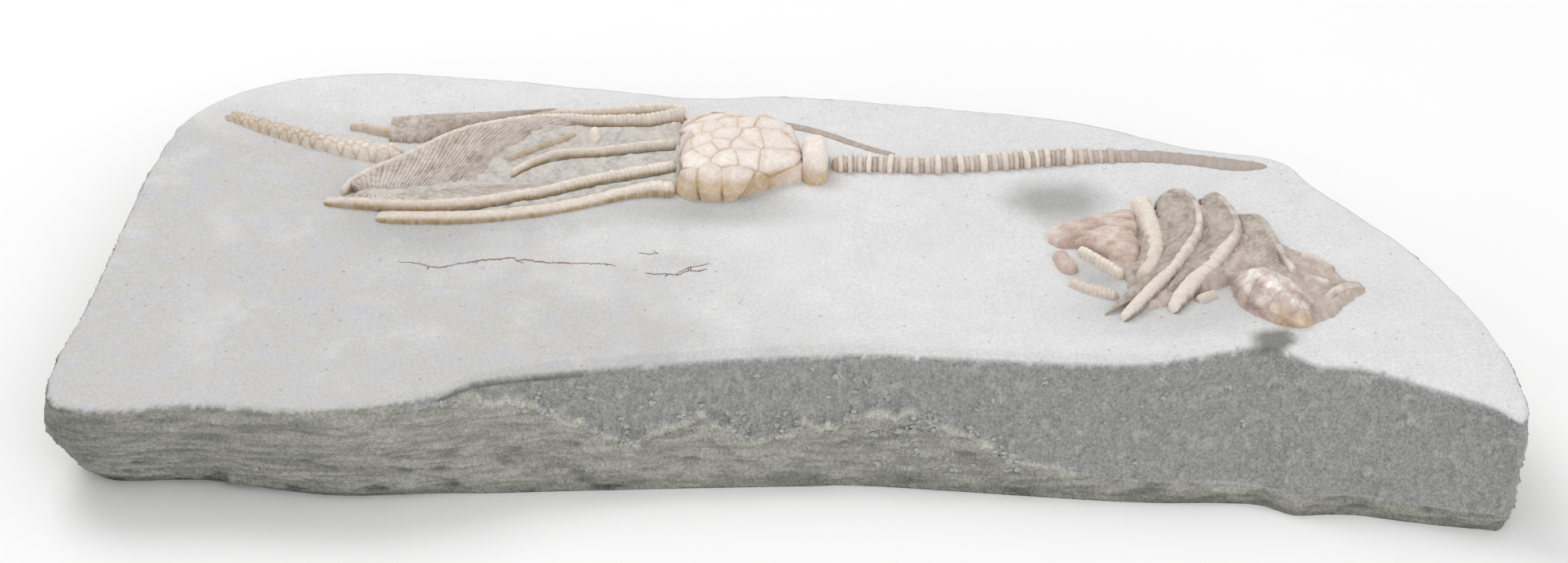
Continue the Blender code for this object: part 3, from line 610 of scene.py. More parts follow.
VEINS = [
    [(-46.5, -4.9), (-44.5, -5.2), (-42.6, -5.9), (-41.3, -6.2), (-39, -5.4), (-36.6, -4.9),
     (-34.3, -4.6), (-32.8, -4.3), (-32.0, -5.0), (-31.3, -4.8), (-29.4, -5.3), (-27, -5.6),
     (-25.2, -5.8), (-23.1, -6.0), (-21.6, -6.2), (-20.2, -6.6)],
    [(-16.6, -8.4), (-15.4, -8.6), (-13.9, -8.7), (-12.7, -8.9), (-12.0, -8.3), (-11.4, -8.0),
     (-10.2, -8.1), (-9.2, -7.7)],
    [(-12.9, -8.8), (-12.2, -8.0), (-11.2, -7.3), (-10.2, -7.0), (-9.0, -6.6)],
    [(-17.6, -3.9), (-16.4, -4.3), (-15.2, -4.2)],
]
VEIN_WIDTHS = (0.17, 0.15, 0.10, 0.08)
VEIN_SIDES = 6


def build_veins():
    """Each vein as a thin ragged strand, half sunk in the stone."""
    rng = Random(7)
    verts, faces = [], []
    count = 0
    twigs = []
    for points, width in zip(VEINS, VEIN_WIDTHS):
        for x, y in points[2::3]:
            reach = rng.uniform(0.5, 1.2)
            turn = rng.uniform(-2.6, 2.6)
            tip = (x + reach * math.cos(turn), y + reach * math.sin(turn))
            twigs.append(([(x, y), tip], 0.5 * width))
    for points, width in list(zip(VEINS, VEIN_WIDTHS)) + twigs:
        stations = max(6, int(9 * len(points)))
        route = smooth_route(points, stations)
        shares = np.linspace(0, 1, stations)
        for k, (x, y) in enumerate(route):
            x += rng.uniform(-0.09, 0.09)
            y += rng.uniform(-0.13, 0.13)
            half = width * (0.25 + 0.75 * math.sin(math.pi * shares[k]) ** 0.5)
            half *= rng.uniform(0.45, 1.35)
            z = rock_height(x, y)
            for step in range(VEIN_SIDES):
                turn = 2 * math.pi * step / VEIN_SIDES
                verts.append((x, y + half * math.cos(turn), z + 0.06 * math.sin(turn) - 0.01))
        faces += skin_faces(stations, VEIN_SIDES, count)
        count += VEIN_SIDES * stations
    return mesh_of("rust_veins", verts, faces)


def make_iron_oxide():
    """Limonite, the brown earthy form of rust: dull, and darker where it is thick."""
    material, tree, shader, position = new_material("iron oxide", 0.85)
    patches = add_node(tree, "ShaderNodeTexNoise",
                       {"Vector": position, "Scale": per_metre(0.5), "Detail": 3.0})
    colour = add_node(tree, "ShaderNodeMix",
                      {0: patches.outputs["Fac"], 6: linear("#6e4f42"), 7: linear("#a98672")},
                      data_type="RGBA")
    finish_surface(tree, shader, colour.outputs[2], patches.outputs["Fac"], 0.5, 0.0001)
    return material


add_piece("rust_veins", build_veins(), (make_iron_oxide(),))

# The main crown's arms
#
# Each arm of the sea lily is a row of small calcite plates, and carries a fringe of pinnules
# that lie combed together on the stone. Preparation left them in relief: ivory along the
# crests, pinkish on the flanks and golden brown in the joints and along the lower edges,
# with painted light on the crests and painted shade at the foot of each front flank.

STATION = 0.10          # from one section of a fossil to the next
SECTION = 15            # points over an arm's section
PINNULE_PITCH = 0.42    # pinnules are 0.3 mm wide, drawn a little coarser to show
HEADROOM = 0.02         # the fossils stay this far below the top of the CAD's box


def route_length(points):
    """The length in plan of the smooth curve through points."""
    route = smooth_route(points, 200)
    return np.linalg.norm(np.diff(route[:, :2], axis=0), axis=1).sum()


def laid(centres, sides, offsets, heights):
    """Points at offsets to the left of a route and at heights above the bedding plane."""
    plan = centres[:, None, :2] + sides[:, None, :] * offsets[:, :, None]
    z = rock_top(plan[:, :, 0]) + heights
    return np.concatenate([plan, z[:, :, None]], axis=2)


def left_sides(route):
    """The unit direction in plan to the left of a route, at each point."""
    return np.array([(-dy, dx) for dx, dy in tangents(route)])


def beaded_rod(points, half_width, pitch=0.62, depth=0.13, slant=0.2, pale=(0.75, 0.45),
               seed=1, wedges=None, back=0.0, plain=(0.0, 0.0)):
    """An arm as a row of plates: its section rings, the tone of its crest and joints, a tint.

    half_width may be a row of widths, evenly spaced along the arm. pale is how ivory the
    crest is at the arm's two ends. wedges gives the lengths of larger plates at the arm's
    start. back is the share of the crest's height that the right-hand side keeps, and plain
    is how far the joints are worn away at the two ends.
    """
    length = route_length(points)
    stations = max(20, int(length / STATION))
    route = smooth_route(points, stations)
    sides = left_sides(route)
    along = np.linspace(0, length, stations)
    widths = np.atleast_1d(half_width)
    half_width = np.interp(along, np.linspace(0, length, len(widths)), widths)[:, None]
    end = np.clip(np.minimum(along, length - along) / (0.9 * widths.mean()), 0.0, 1)
    taper = (0.12 + 0.88 * np.sqrt(1 - (1 - end) ** 2))[:, None]
    turn = np.linspace(0, math.pi, SECTION)
    reach = np.sign(np.cos(turn)) * np.abs(np.cos(turn)) ** 0.85
    rise = np.sin(turn) ** 0.8
    sheltered = reach < 0
    # The front flank's tone rises with height: partly the calcite's golden lower edge, partly
    # painted shade at its foot and painted light on the crest.
    flank_light_and_colour = np.where(sheltered, 1, ease(0.33, 0.9, rise))
    rise = np.where(sheltered, back + (1 - back) * rise, rise)
    offsets = half_width * taper * reach
    offsets = offsets * (1 + 0.12 * lumps(0.9 * route, 1.0, seed))[:, None]
    crest = route[:, 2:3] * taper
    bounds = np.arange(0, length + 2 * pitch, pitch) - pitch
    if wedges:
        large = np.concatenate([[0], np.cumsum(wedges)])
        bounds = np.concatenate([[-1], large, np.arange(large[-1] + pitch, length + 2, pitch)])
    rng = np.random.default_rng(seed)
    bounds = bounds + rng.uniform(-0.08, 0.08, len(bounds)) * pitch
    place = along[:, None] + slant * offsets
    plate = np.clip(np.searchsorted(bounds, place) - 1, 0, len(bounds) - 2)
    share = (place - bounds[plate]) / (bounds[plate + 1] - bounds[plate])
    kept = 1 - np.interp(along, (0, 0.4 * length, length), (plain[0], np.mean(plain), plain[1]))
    kept = kept[:, None]
    joint = np.clip(np.abs(2 * share - 1), 0, 1) ** 5 * kept
    size = 1 + rng.uniform(-0.04, 0.04, len(bounds))[plate] * kept
    swell = (1 - depth * joint) * size
    heights = crest * rise * swell
    grid = laid(route, sides, offsets * swell, heights)
    rough = lumps(grid.reshape(-1, 3), 0.7, seed).reshape(heights.shape)
    grid[:, :, 2] += 0.05 * rough
    feet = (half_width * taper + 0.1) * np.array([[1, -1]])
    feet = laid(route, sides, feet, np.full((stations, 2), -SEAT_DEPTH))
    grid = np.concatenate([feet[:, :1], grid, feet[:, 1:]], axis=1)
    fade = np.interp(along, (0, length), pale)[:, None]
    tone = 0.06 + (0.38 + 0.62 * fade) * flank_light_and_colour - 0.2 * joint * (0.5 + fade) + 0.14 * rough
    tone = np.pad(tone, ((0, 0), (1, 1)), mode="edge")
    tint = rng.uniform(0, 1, len(bounds))[plate]
    tint = np.pad(tint, ((0, 0), (1, 1)), mode="edge")
    return grid, tone, tint, 0


def seated(grid, tone, tint, kind=0):
    """A skin with both its sides carried down into the stone."""
    first, last = grid[:, :1].copy(), grid[:, -1:].copy()
    for foot in (first, last):
        foot[:, :, 2] = rock_top(foot[:, :, 0]) - SEAT_DEPTH
    grid = np.concatenate([first, grid, last], axis=1)
    edges = ((0, 0), (1, 1))
    return grid, np.pad(tone, edges, mode="edge"), np.pad(tint, edges, mode="edge"), kind


def pinnule_fan(points, edge, span, ends, lag=0.4, pitch=PINNULE_PITCH, stone=0.3, seed=3,
                hump=0.0, relief=0.2, ragged=0.1, contrast=0.34):
    """The combed pinnules on one side of an arm, as one finely ribbed sheet.

    Each rib leaves the arm's centre line and sweeps towards the arm's tip until it meets
    the edge, which runs in plan beside the arm over span. lag is how far it sweeps; below
    zero, the first ribs spread from one point. A rib starts just under the arm's crest, and
    ends gives its height at a place on the edge.
    """
    route = smooth_route(points, 400)
    length = route_length(points)
    outer = smooth_route(edge, 200)
    ribs = max(4, int(length * (span[1] - span[0]) / pitch))
    rng = np.random.default_rng(seed)
    rows = ribs * 7 + 1
    phase = np.linspace(0, ribs, rows)
    rib = np.minimum(phase.astype(int), ribs)
    start = np.linspace(0, 1, rows)[:, None]
    width = np.linalg.norm(route[200, :2] - outer[100, :2])
    columns = int(np.clip(width / 0.2, 12, 50))
    bundle = lumps(np.column_stack([rib, 0 * rib, 0 * rib]), 3.3, seed)
    longest = 1 - ragged * (0.6 * rng.uniform(0, 1, ribs + 1)[rib] + ease(-0.1, 0.4, bundle))
    crown = np.sin(math.pi * (phase % 1)) ** 0.7
    u = np.linspace(0, 1, columns)[None, :] * (longest - 0.03 * (1 - crown))[:, None]
    if lag < 0:
        share = np.clip(start + lag * (1 - u), 0, 1)
    else:
        share = start + lag * u * (1 - start)
    at = span[0] + share * (span[1] - span[0])
    inner = np.stack([np.interp(at, np.linspace(0, 1, 400), column) for column in route.T], -1)
    far = np.stack([np.interp(share, np.linspace(0, 1, 200), column) for column in outer.T], -1)
    plan = inner[:, :, :2] * (1 - u[:, :, None]) + far[:, :, :2] * u[:, :, None]
    level = 0.9 * inner[:, :, 2] * (1 - u) + ends(far[:, :, 0], far[:, :, 1]) * u
    level = level + hump * np.sin(math.pi * u) - 0.3 * ease(0.9, 1.0, u / longest[:, None])
    if lag < 0:
        level = level - 0.9 * ease(0.86, 1.0, start)
    if lag > 0:
        base = ends(plan[:, :, 0], plan[:, :, 1]) - 1.1
        level = base + (level - base) * ease(0.0, 0.16, start)
    own = rng.uniform(-1, 1, ribs + 1)[rib][:, None]
    ridges = relief * (crown[:, None] - 0.5) * (0.3 + 0.7 * ease(0.0, 0.25, u))
    level = level + ridges + 0.3 * relief * own
    z = rock_top(plan[:, :, 0]) + level
    grid = np.concatenate([plan, z[:, :, None]], axis=2)
    rough = lumps(grid.reshape(-1, 3), 2.2, seed).reshape(level.shape)
    fine = lumps(grid.reshape(-1, 3), 0.5, seed + 1.5).reshape(level.shape)
    grid[:, :, 2] += 0.07 * rough + 0.05 * fine
    tone = 0.3 + contrast * (crown[:, None] + 0.3 * own) + 0.24 * rough + 0.3 * fine
    return seated(grid, tone, np.clip(stone + 0.7 * rough, 0, 1), 1)


TONE_STEPS = ((0.0, 0.32), (0.3, 0.62), (0.62, 1.05))   # where a calcite's next colour comes in


def clouded(tree, value, noise_node, swing):
    """A value that a noise pattern moves up and down by up to swing."""
    shift = add_node(tree, "ShaderNodeMapRange",
                     {"Value": noise_node.outputs["Fac"], "From Min": 0.3, "From Max": 0.7,
                      "To Min": -swing, "To Max": swing})
    return add_node(tree, "ShaderNodeMath", {0: value, 1: shift.outputs[0]},
                    operation="ADD").outputs[0]


def make_calcite(name, colours, roughness, grain):
    """Fossil calcite, the sea lily's skeleton: hard and slightly waxy, with a crystal grain.

    colours run from the joints to the crest. Each plate has a tint of its own up to 1, and
    where the tint rises to 2.5 the fifth colour takes over.
    """
    material, tree, shader, position = new_material(name, roughness, ior=1.55)
    tone, tint = (add_node(tree, "ShaderNodeAttribute", attribute_name=layer).outputs["Fac"]
                  for layer in ("tone", "tint"))
    mottle = add_node(tree, "ShaderNodeTexNoise",
                      {"Vector": position, "Scale": per_metre(1.1), "Detail": 4.0,
                       "Roughness": 0.65})
    crystal = add_node(tree, "ShaderNodeTexNoise",
                       {"Vector": position, "Scale": per_metre(grain), "Detail": 2.0})
    level = clouded(tree, tone, mottle, 0.13)
    colour = linear(colours[0])
    for reach, code in zip(TONE_STEPS, colours[1:4]):
        colour = tinted(tree, colour, level, reach, code)
    colour = tinted(tree, colour, tint, (0, 2.5), colours[4])
    colour = dimmed(tree, colour, crystal.outputs["Fac"], (0.3, 0.7), (0.9, 1.07))
    finish_surface(tree, shader, colour, crystal.outputs["Fac"], 0.35, 0.0001)
    return material


def set_fossil(node, skins, finishes):
    """One fossil piece from its skins, standing for the CAD node that it replaces."""
    verts, faces, tones, tints, kinds = [], [], [], [], []
    count = 0
    for grid, tone, tint, kind in skins:
        rows, columns = grid.shape[:2]
        new = skin_faces(rows, columns, count)
        verts.append(grid.reshape(-1, 3))
        faces += new
        tones.append(np.broadcast_to(tone, (rows, columns)).ravel())
        tints.append(np.broadcast_to(tint, (rows, columns)).ravel())
        kinds += [kind] * len(new)
        count += rows * columns
    inside = np.clip(np.vstack(verts), cad_low, cad_high - (0, 0, HEADROOM))
    mesh = closed_mesh(node + "_fossil", inside, faces)
    paint(mesh, "tone", np.concatenate(tones))
    paint(mesh, "tint", np.concatenate(tints))
    add_piece(node + "_fossil", mesh, finishes, node)
    mesh.polygons.foreach_set("material_index", kinds)


crinoid_calcite = make_calcite(
    "crinoid calcite", ("#9a7f54", "#bba580", "#d6c8bb", "#f1e7da", "#d3c5bd"), 0.58, 0.35)
pinnule_calcite = make_calcite(
    "pinnule calcite", ("#8f8173", "#afa296", "#cdc1b8", "#e6dbd1", "#bbb9b5"), 0.7, 0.3)
ARM_FINISHES = (crinoid_calcite, pinnule_calcite)

ARM_1 = [(-13.5, 9.8, 1.6), (-16.5, 10.1, 1.4), (-19.9, 9.3, 1.1), (-23.8, 7.7, 1.0),
         (-28.6, 6.0, 1.0), (-33.5, 5.0, 1.0), (-38.3, 4.4, 1.0), (-43.3, 4.4, 1.0),
         (-47.3, 4.7, 0.9), (-50.2, 5.1, 0.7)]
ARM_2 = [(-13.5, 14.5, 2.0), (-15.1, 14.0, 1.9), (-18.1, 13.4, 1.7), (-22.0, 12.4, 1.6),
         (-25.9, 11.0, 1.5), (-29.8, 9.4, 1.5), (-33.7, 8.2, 1.5), (-37.6, 7.2, 1.5),
         (-41.5, 6.7, 1.5), (-45.4, 6.7, 1.4), (-49.4, 7.2, 1.3), (-53.4, 8.0, 1.1),
         (-57.0, 8.9, 0.7)]
ARM_2_EDGE = [(-22, 14.1), (-28, 12.9), (-34, 12.0), (-38.5, 10.9), (-43, 9.9), (-48, 9.3),
              (-53, 9.6)]
ARM_3 = [(-13.6, 19.3, 2.2), (-18.2, 19.0, 2.0), (-23.3, 18.4, 1.7), (-28.0, 18.2, 1.6),
         (-30.3, 17.3, 1.5), (-32.7, 15.4, 1.3), (-34.2, 14.1, 0.9)]
ARM_4 = [(-12.9, 25.9, 3.2), (-14.4, 25.2, 3.2), (-17.0, 24.6, 3.0), (-22.6, 25.2, 2.5),
         (-26.7, 26.1, 2.2), (-30.1, 26.6, 2.0), (-33.4, 26.2, 2.0), (-36.6, 25.3, 2.0),
         (-39.8, 24.1, 2.0), (-42.9, 22.1, 2.0), (-45.9, 19.2, 1.9), (-48.8, 16.7, 1.8),
         (-51.7, 14.6, 1.6), (-53.9, 12.6, 1.3), (-54.9, 10.6, 0.9)]
ARM_4_EDGE = [(-26.6, 21.8), (-30.8, 18.2), (-35.2, 14.4), (-39.5, 11.6), (-44, 10.6),
              (-49, 10.2), (-52.9, 10.6)]
ARM_5 = [(-12.6, 28.0, 3.2), (-14.4, 28.8, 3.2), (-17.0, 28.9, 3.0), (-20.4, 28.5, 2.8),
         (-23.7, 28.3, 2.4), (-30.3, 28.6, 2.0), (-36.8, 28.2, 1.9), (-41.7, 28.0, 1.9),
         (-46.4, 27.9, 1.8), (-50.4, 27.9, 1.4)]
ARM_5_EDGE = [(-35, 27.0), (-39, 25.9), (-43, 24.2), (-46.5, 23.2), (-50.4, 23.4)]
ARM_6 = [(-55.8, 27.0, 0.9), (-54.0, 26.7, 1.0), (-51.8, 25.7, 1.0), (-49.8, 25.0, 0.7)]
ARM_7 = [(-13.6, 23.4, 2.6), (-14.9, 22.6, 2.0), (-16.2, 21.7, 1.6)]


def crown_level(x, y):
    """The height of the stone left between the main crown's arms."""
    lines = []
    for route in (ARM_1, ARM_2, ARM_3, ARM_4):
        ax, ay, crest = np.array(route[::-1]).T
        lines.append((np.interp(x, ax, ay), np.interp(x, ax, crest)))
    (y1, c1), (y2, c2), (y3, c3), (y4, c4) = lines
    there = ease(-37, -33, x)
    y3, c3 = y3 * there + (y2 + y4) / 2 * (1 - there), c3 * there + (c2 + c4) / 2 * (1 - there)
    level = 0.75 * c1
    gaps = ((y1, 0.75 * c1, y2, 0.68 * c2), (y2, 0.75 * c2, y3, 0.7 * c3),
            (y3, 0.75 * c3, y4, 0.72 * c4))
    for ya, ca, yb, cb in gaps:
        t = np.clip((y - ya) / (yb - ya), 0, 1)
        level = np.where(y > ya, ca * (1 - t) + cb * t, level)
    return level


set_fossil("main_arm_1", [
    beaded_rod(ARM_1, 0.95, 0.5, 0.04, 0.3, (0.9, 0.3), 11,
               wedges=(0.75, 0.8, 0.8, 0.75, 0.7, 0.6), back=0.5, plain=(0.0, 1.0)),
], ARM_FINISHES)
set_fossil("main_arm_2", [
    beaded_rod(ARM_2, 0.62, 0.6, 0.07, 0.15, (0.9, 0.4), 12, back=0.8, plain=(0.0, 0.7)),
    pinnule_fan(ARM_2, ARM_2_EDGE, (0.10, 0.97), lambda x, y: crown_level(x, y) + 0.1,
                0.5, 0.8, 0.3, 22, 0.03, 0.1),
], ARM_FINISHES)
set_fossil("main_arm_3", [
    beaded_rod(ARM_3, 0.52, 0.55, 0.06, 0.2, (0.75, 0.4), 13, back=0.75, plain=(0.3, 0.6)),
], ARM_FINISHES)
set_fossil("main_arm_4", [
    beaded_rod(ARM_4, 0.62, 0.62, 0.08, 0.2, (1.0, 0.4), 14, back=0.2, plain=(0.0, 0.7)),
    pinnule_fan(ARM_4, ARM_4_EDGE, (0.22, 0.97), lambda x, y: crown_level(x, y) + 0.3,
                0.45, 0.95, 0.4, 24, 0.0, 0.17, 0.06, 0.27),
    beaded_rod([(-26.4, 22.3, 1.8), (-28.3, 20.9, 1.9), (-30.3, 19.6, 1.8), (-32.5, 18.3, 1.7),
                (-35.5, 16.6, 1.4)], 0.18, 0.6, 0.03, 0.2, (0.1, 0.0), 18, plain=(0.8, 1.0)),
], ARM_FINISHES)
set_fossil("main_arm_5", [
    beaded_rod([(x, y, min(0.72 * z, 1.9)) for x, y, z in ARM_5], 0.62, 0.56, 0.06, 0.2,
               (0.95, 0.3), 15, back=0.2, plain=(0.0, 0.7)),
    pinnule_fan([(x, y, 0.9 * z) for x, y, z in ARM_5], ARM_5_EDGE, (0.35, 1.0),
                lambda x, y: 0.55 + 0 * x, 0.45, 0.5, 0.1, 25, 0.15, 0.05, 0.1, 0.15),
], ARM_FINISHES)
set_fossil("main_arm_6", [beaded_rod(ARM_6, 0.5, 0.5, 0.04, 0.2, (0.1, 0.0), 16,
                                     plain=(0.6, 1.0))],
           ARM_FINISHES)
set_fossil("main_arm_7", [beaded_rod(ARM_7, 0.6, 0.7, 0.06, 0.2, (0.9, 0.6), 17)],
           ARM_FINISHES)

# The stone between the arms
#
# The preparator left siltstone between the arms of both crowns, nearly as high as their
# backs, and cut it away in a narrow gutter along the front of each main arm, with painted
# shade in the gutter.

CROWN_STONE = [
    (-55, 8.6), (-50, 5.4), (-43, 4.8), (-36, 5.0), (-28, 6.3), (-22, 8.4), (-17, 10.2),
    (-12.5, 10.2), (-12.0, 18), (-12.0, 25), (-16, 24.9), (-22, 25.4), (-29, 26.2),
    (-34, 25.6), (-40, 23.4), (-46, 18.6), (-53, 12.0),
]
SMALL_CROWN_STONE = [
    (37.6, -9.0), (40.0, -12.0), (40.6, -16), (40.4, -18.0), (43, -18.4), (46, -17.4),
    (49, -15.0), (52.5, -13.4), (55.8, -20.4), (60.4, -22.6), (64.0, -20.6), (66.0, -17.6),
    (68.6, -15.2), (68.4, -13.2), (66.4, -12.2), (65.6, -9.4), (63.4, -7.2), (60.8, -5.4),
    (59.0, -2.6), (57.0, -0.4), (54.4, 0.5), (52.0, 3.4), (49.0, 4.2), (46.6, 3.8),
    (44.5, 3.6), (42.0, 2.5), (41.0, -4), (38.5, -6),
]
STONE_STEP = 0.22
PATCH_SINK = 0.45       # a patch's edge lies this far under the rock's top
PATCH_REACH = 0.9       # and at most this far outside its outline
PATCH_FLOOR = 1         # its closed underside lies this far under the top
stained_siltstone = make_siltstone("stained siltstone", "#d0cac3")
crusted_siltstone = make_siltstone("crusted siltstone", "#cfc0b6")


def build_stone(name, outline, level, gutters, gloom, finish, rough):
    """A patch of rough stone inside an outline, with gutters cut in front of routes."""
    corners = np.array(outline)
    xs = np.arange(corners[:, 0].min() - 1, corners[:, 0].max() + 1, STONE_STEP)
    ys = np.arange(corners[:, 1].min() - 1, corners[:, 1].max() + 1, STONE_STEP)
    y, x = (part.ravel() for part in np.meshgrid(ys, xs))
    flat = np.column_stack([x, y, 0 * x])
    bumps = 0.2 * lumps(flat, 2.6, 4.1) + 0.16 * lumps(flat, 0.9, 1.1)
    height = level(x, y) + rough * (bumps + 0.09 * lumps(flat, 0.5, 6.1))
    gutter_shade = np.zeros_like(x)
    for route, half_width, depth in gutters:
        ax, ay, crest = np.array(route)[::-1].T
        ahead = np.interp(x, ax, ay) - y - half_width
        gutter = np.exp(-((ahead - 0.25) / 0.5) ** 2) * ((x > ax[0]) & (x < ax[-1]))
        gutter_shade = np.maximum(gutter_shade, gutter)
        floor_height = np.minimum(height, np.interp(x, ax, crest) - depth)
        height = height * (1 - gutter) + floor_height * gutter
    inside = inside_distance(x, y, outline) + 0.35 * lumps(flat, 1.3, 2.7)
    height = -PATCH_SINK + (height + PATCH_SINK) * ease(-0.3, 1.2, inside)
    index = np.arange(len(x)).reshape(len(xs), len(ys))
    quads = np.stack([index[:-1, :-1], index[1:, :-1], index[1:, 1:], index[:-1, 1:]], axis=-1)
    quads = quads.reshape(-1, 4)
    quads = quads[(inside[quads] > -PATCH_REACH).all(axis=1)]
    used, quads = np.unique(quads, return_inverse=True)
    quads, count = quads.reshape(-1, 4), len(used)
    sides = [(a, b) for quad in quads.tolist() for a, b in zip(quad, quad[1:] + quad[:1])]
    known = set(sides)
    border = [(a, b) for a, b in sides if (b, a) not in known]
    faces = quads.tolist() + (quads[:, ::-1] + count).tolist()
    faces += [[b, a, a + count, b + count] for a, b in border]
    x, y = x[used], y[used]
    upper = np.column_stack([x, y, rock_top(x) + height[used]])
    lower = np.column_stack([x, y, rock_top(x) - PATCH_FLOOR])
    mesh = mesh_of(name, np.concatenate([upper, lower]), faces)
    spots = 0.25 * lumps(flat[used], 1.5, 7.7) + 0.3 * lumps(flat[used], 0.6, 3.7)
    # Painted shade in the gutters, over the patch's overall darkening and its spots.
    dark = np.clip(gloom + 0.75 * gutter_shade[used] + spots, 0, 1)
    paint(mesh, "zones", np.tile([0, 0, 0, 0.5], (2 * count, 1)))
    paint(mesh, "dark", np.concatenate([dark, dark]))
    paint(mesh, "edge", np.zeros(2 * count))
    add_piece(name, mesh, (finish,))


build_stone("crown_stone", CROWN_STONE, crown_level,
            ((ARM_2, 0.62, 1.3), (ARM_3, 0.52, 1.25), (ARM_4[:6], 0.62, 1.6)), 0.14,
            stained_siltstone, 1.0)
build_stone(
    "small_crown_stone", SMALL_CROWN_STONE,
    lambda x, y: 0.7 + 0.8 * ease(8, 2, np.hypot(x - 51, 0.6 * (y + 4)) - 2), (), 0.2,
    crusted_siltstone, 1.7)

# The main cup and its ring
#
# The cup is a crushed box of thick many-sided calcite plates, fitted edge to edge, with thin
# brown seams. A smooth ring of fused plates joins it to the stem.

CUP_STATIONS = [        # X, front and back edges, and height
    (-13.0, 9.4, 23.4, 2.9), (-10.6, 8.5, 25.2, 3.9), (-8.0, 8.1, 25.6, 4.2),
    (-5.4, 8.4, 25.0, 4.3), (-2.8, 9.8, 24.0, 4.2), (-0.4, 11.5, 22.4, 3.9),
    (2.0, 12.0, 20.2, 3.4),
]
CUP_PLATES = [          # the middle of each plate in plan
    (-11.6, 24.3), (-9.3, 22.8), (-5.4, 23.6), (-6.9, 20.7), (-4.9, 20.7), (-1.7, 20.2),
    (-11.3, 19.9), (-9.2, 19.6), (-12.6, 18.6), (-12.6, 16.0), (-7.6, 16.7), (-10.4, 16.3),
    (-7.9, 15.0), (-9.6, 14.0), (-11.2, 12.7), (-6.8, 12.1), (-4.9, 12.4), (-6.1, 8.9),
    (-12.2, 9.6), (-9.3, 8.9), (-1.4, 16.0), (-1.0, 12.5), (-3.9, 15.6), (-4.9, 14.6),
    (-13.0, 13.0), (-3.3, 9.4), (0.6, 23.0), (1.6, 18.6), (-2.0, 23.4), (0.2, 10.9),
]
RING_STATIONS = [(2.3, 3.5), (3.1, 4.0), (4.6, 4.0), (5.5, 3.4)]
RING_Y = 15.3


def dome_grid(stations, rows, columns, end_round, power=0.75):
    """Rings over a long dome whose ends are rounded down over a short way."""
    table = np.array(stations, float)
    x = np.linspace(table[0, 0], table[-1, 0], rows)
    fine = smooth_route([(row[0], 0, *row[1:]) for row in stations], 200)
    front, back, height = (np.interp(x, fine[:, 0], fine[:, k]) for k in (2, 3, 4))
    gap = np.clip(np.minimum(x - x[0], x[-1] - x) / end_round, 0, 1)
    fall = np.sqrt(1 - (1 - gap) ** 2)[:, None]
    turn = np.linspace(0, math.pi, columns)[None, :]
    middle, half = ((front + back) / 2)[:, None], ((back - front) / 2)[:, None]
    y = middle - half * np.cos(turn) * (0.8 + 0.2 * fall)
    z = rock_top(x)[:, None] + height[:, None] * np.sin(turn) ** power * (0.3 + 0.7 * fall)
    return np.stack([np.broadcast_to(x[:, None], y.shape), y, z], axis=2)


def outward(grid):
    """The unit direction out of a grid of points, at each of them."""
    across_step = np.gradient(grid, axis=1)
    along_step = np.gradient(grid, axis=0)
    normal = np.cross(along_step, across_step)
    normal /= np.linalg.norm(normal, axis=2)[:, :, None] + 1e-9
    return normal * np.where(normal[:, :, 2:].mean() < 0, -1, 1)


def plate_pattern(points, centres):
    """For each point its plate's number and its distance from the nearest seam."""
    gaps = np.linalg.norm(points[:, None, :] - centres[None, :, :], axis=2)
    order = np.argsort(gaps, axis=1)[:, :2]
    first, second = order.T
    rows = np.arange(len(points))
    apart = np.linalg.norm(centres[first] - centres[second], axis=1)
    seam = (gaps[rows, second] ** 2 - gaps[rows, first] ** 2) / (2 * apart)
    return first, seam


def plated_skin(grid, plan, seed, groove=0.12, step=0.2, lean=0.1, level=0.75, soft=0.25):
    """A skin laid in plates round the given middles, each nearly flat and a little tilted."""
    flat = grid.reshape(-1, 3)
    plan = np.array(plan, float)
    nearest = np.linalg.norm(flat[None, :, :2] - plan[:, None, :], axis=2).argmin(axis=1)
    centres = flat[nearest]
    out = outward(grid).reshape(-1, 3)
    warp = np.stack([lumps(flat, 2.6, seed + k) for k in (0.3, 5.1, 9.7)], axis=1)
    plate, seam = plate_pattern(flat + 0.2 * warp, centres)
    rng = np.random.default_rng(seed)
    facing = out[nearest] + rng.uniform(-lean, lean, (len(plan), 3))
    sunk = ((flat - centres[plate]) * facing[plate]).sum(axis=1)
    flatten = -level * np.clip(sunk, -0.7, 0.7)
    raised = rng.uniform(-step, step, len(plan))[plate]
    rough = 0.04 * lumps(flat, 0.9, seed) + 0.02 * lumps(flat, 0.35, seed)
    push = (flatten + raised) * ease(-0.05, soft, seam) - groove * np.exp(-(seam / 0.15) ** 2)
    moved = flat + out * (push + rough)[:, None]
    tone = 0.4 + 0.34 * ease(-0.02, 0.2, seam) + 0.24 * ease(0.1, 1.3, seam) + 2 * rough
    shape = grid.shape[:2]
    tint = rng.uniform(0, 1, len(plan))[plate]
    return moved.reshape(grid.shape), tone.reshape(shape), tint.reshape(shape)


pale_calcite = make_calcite(
    "plate calcite", ("#a58a62", "#c6ab84", "#e3d3c7", "#f3eae2", "#e8d9cf"), 0.5, 0.4)

cup_grid, cup_tone, cup_tint = plated_skin(
    dome_grid(CUP_STATIONS, 190, 210, 1.0, power=0.55), CUP_PLATES, 51)
cup_height = cup_grid[:, :, 2] - rock_top(cup_grid[:, :, 0])
# Painted shade: the cup's low front side is drawn up to 0.6 darker in tone.
cup_front_shade = ease(13.5, 10.5, cup_grid[:, :, 1]) * ease(3.1, 1.9, cup_height)
set_fossil("main_cup", [seated(cup_grid, cup_tone * (1 - 0.6 * cup_front_shade), cup_tint)],
           (pale_calcite,))


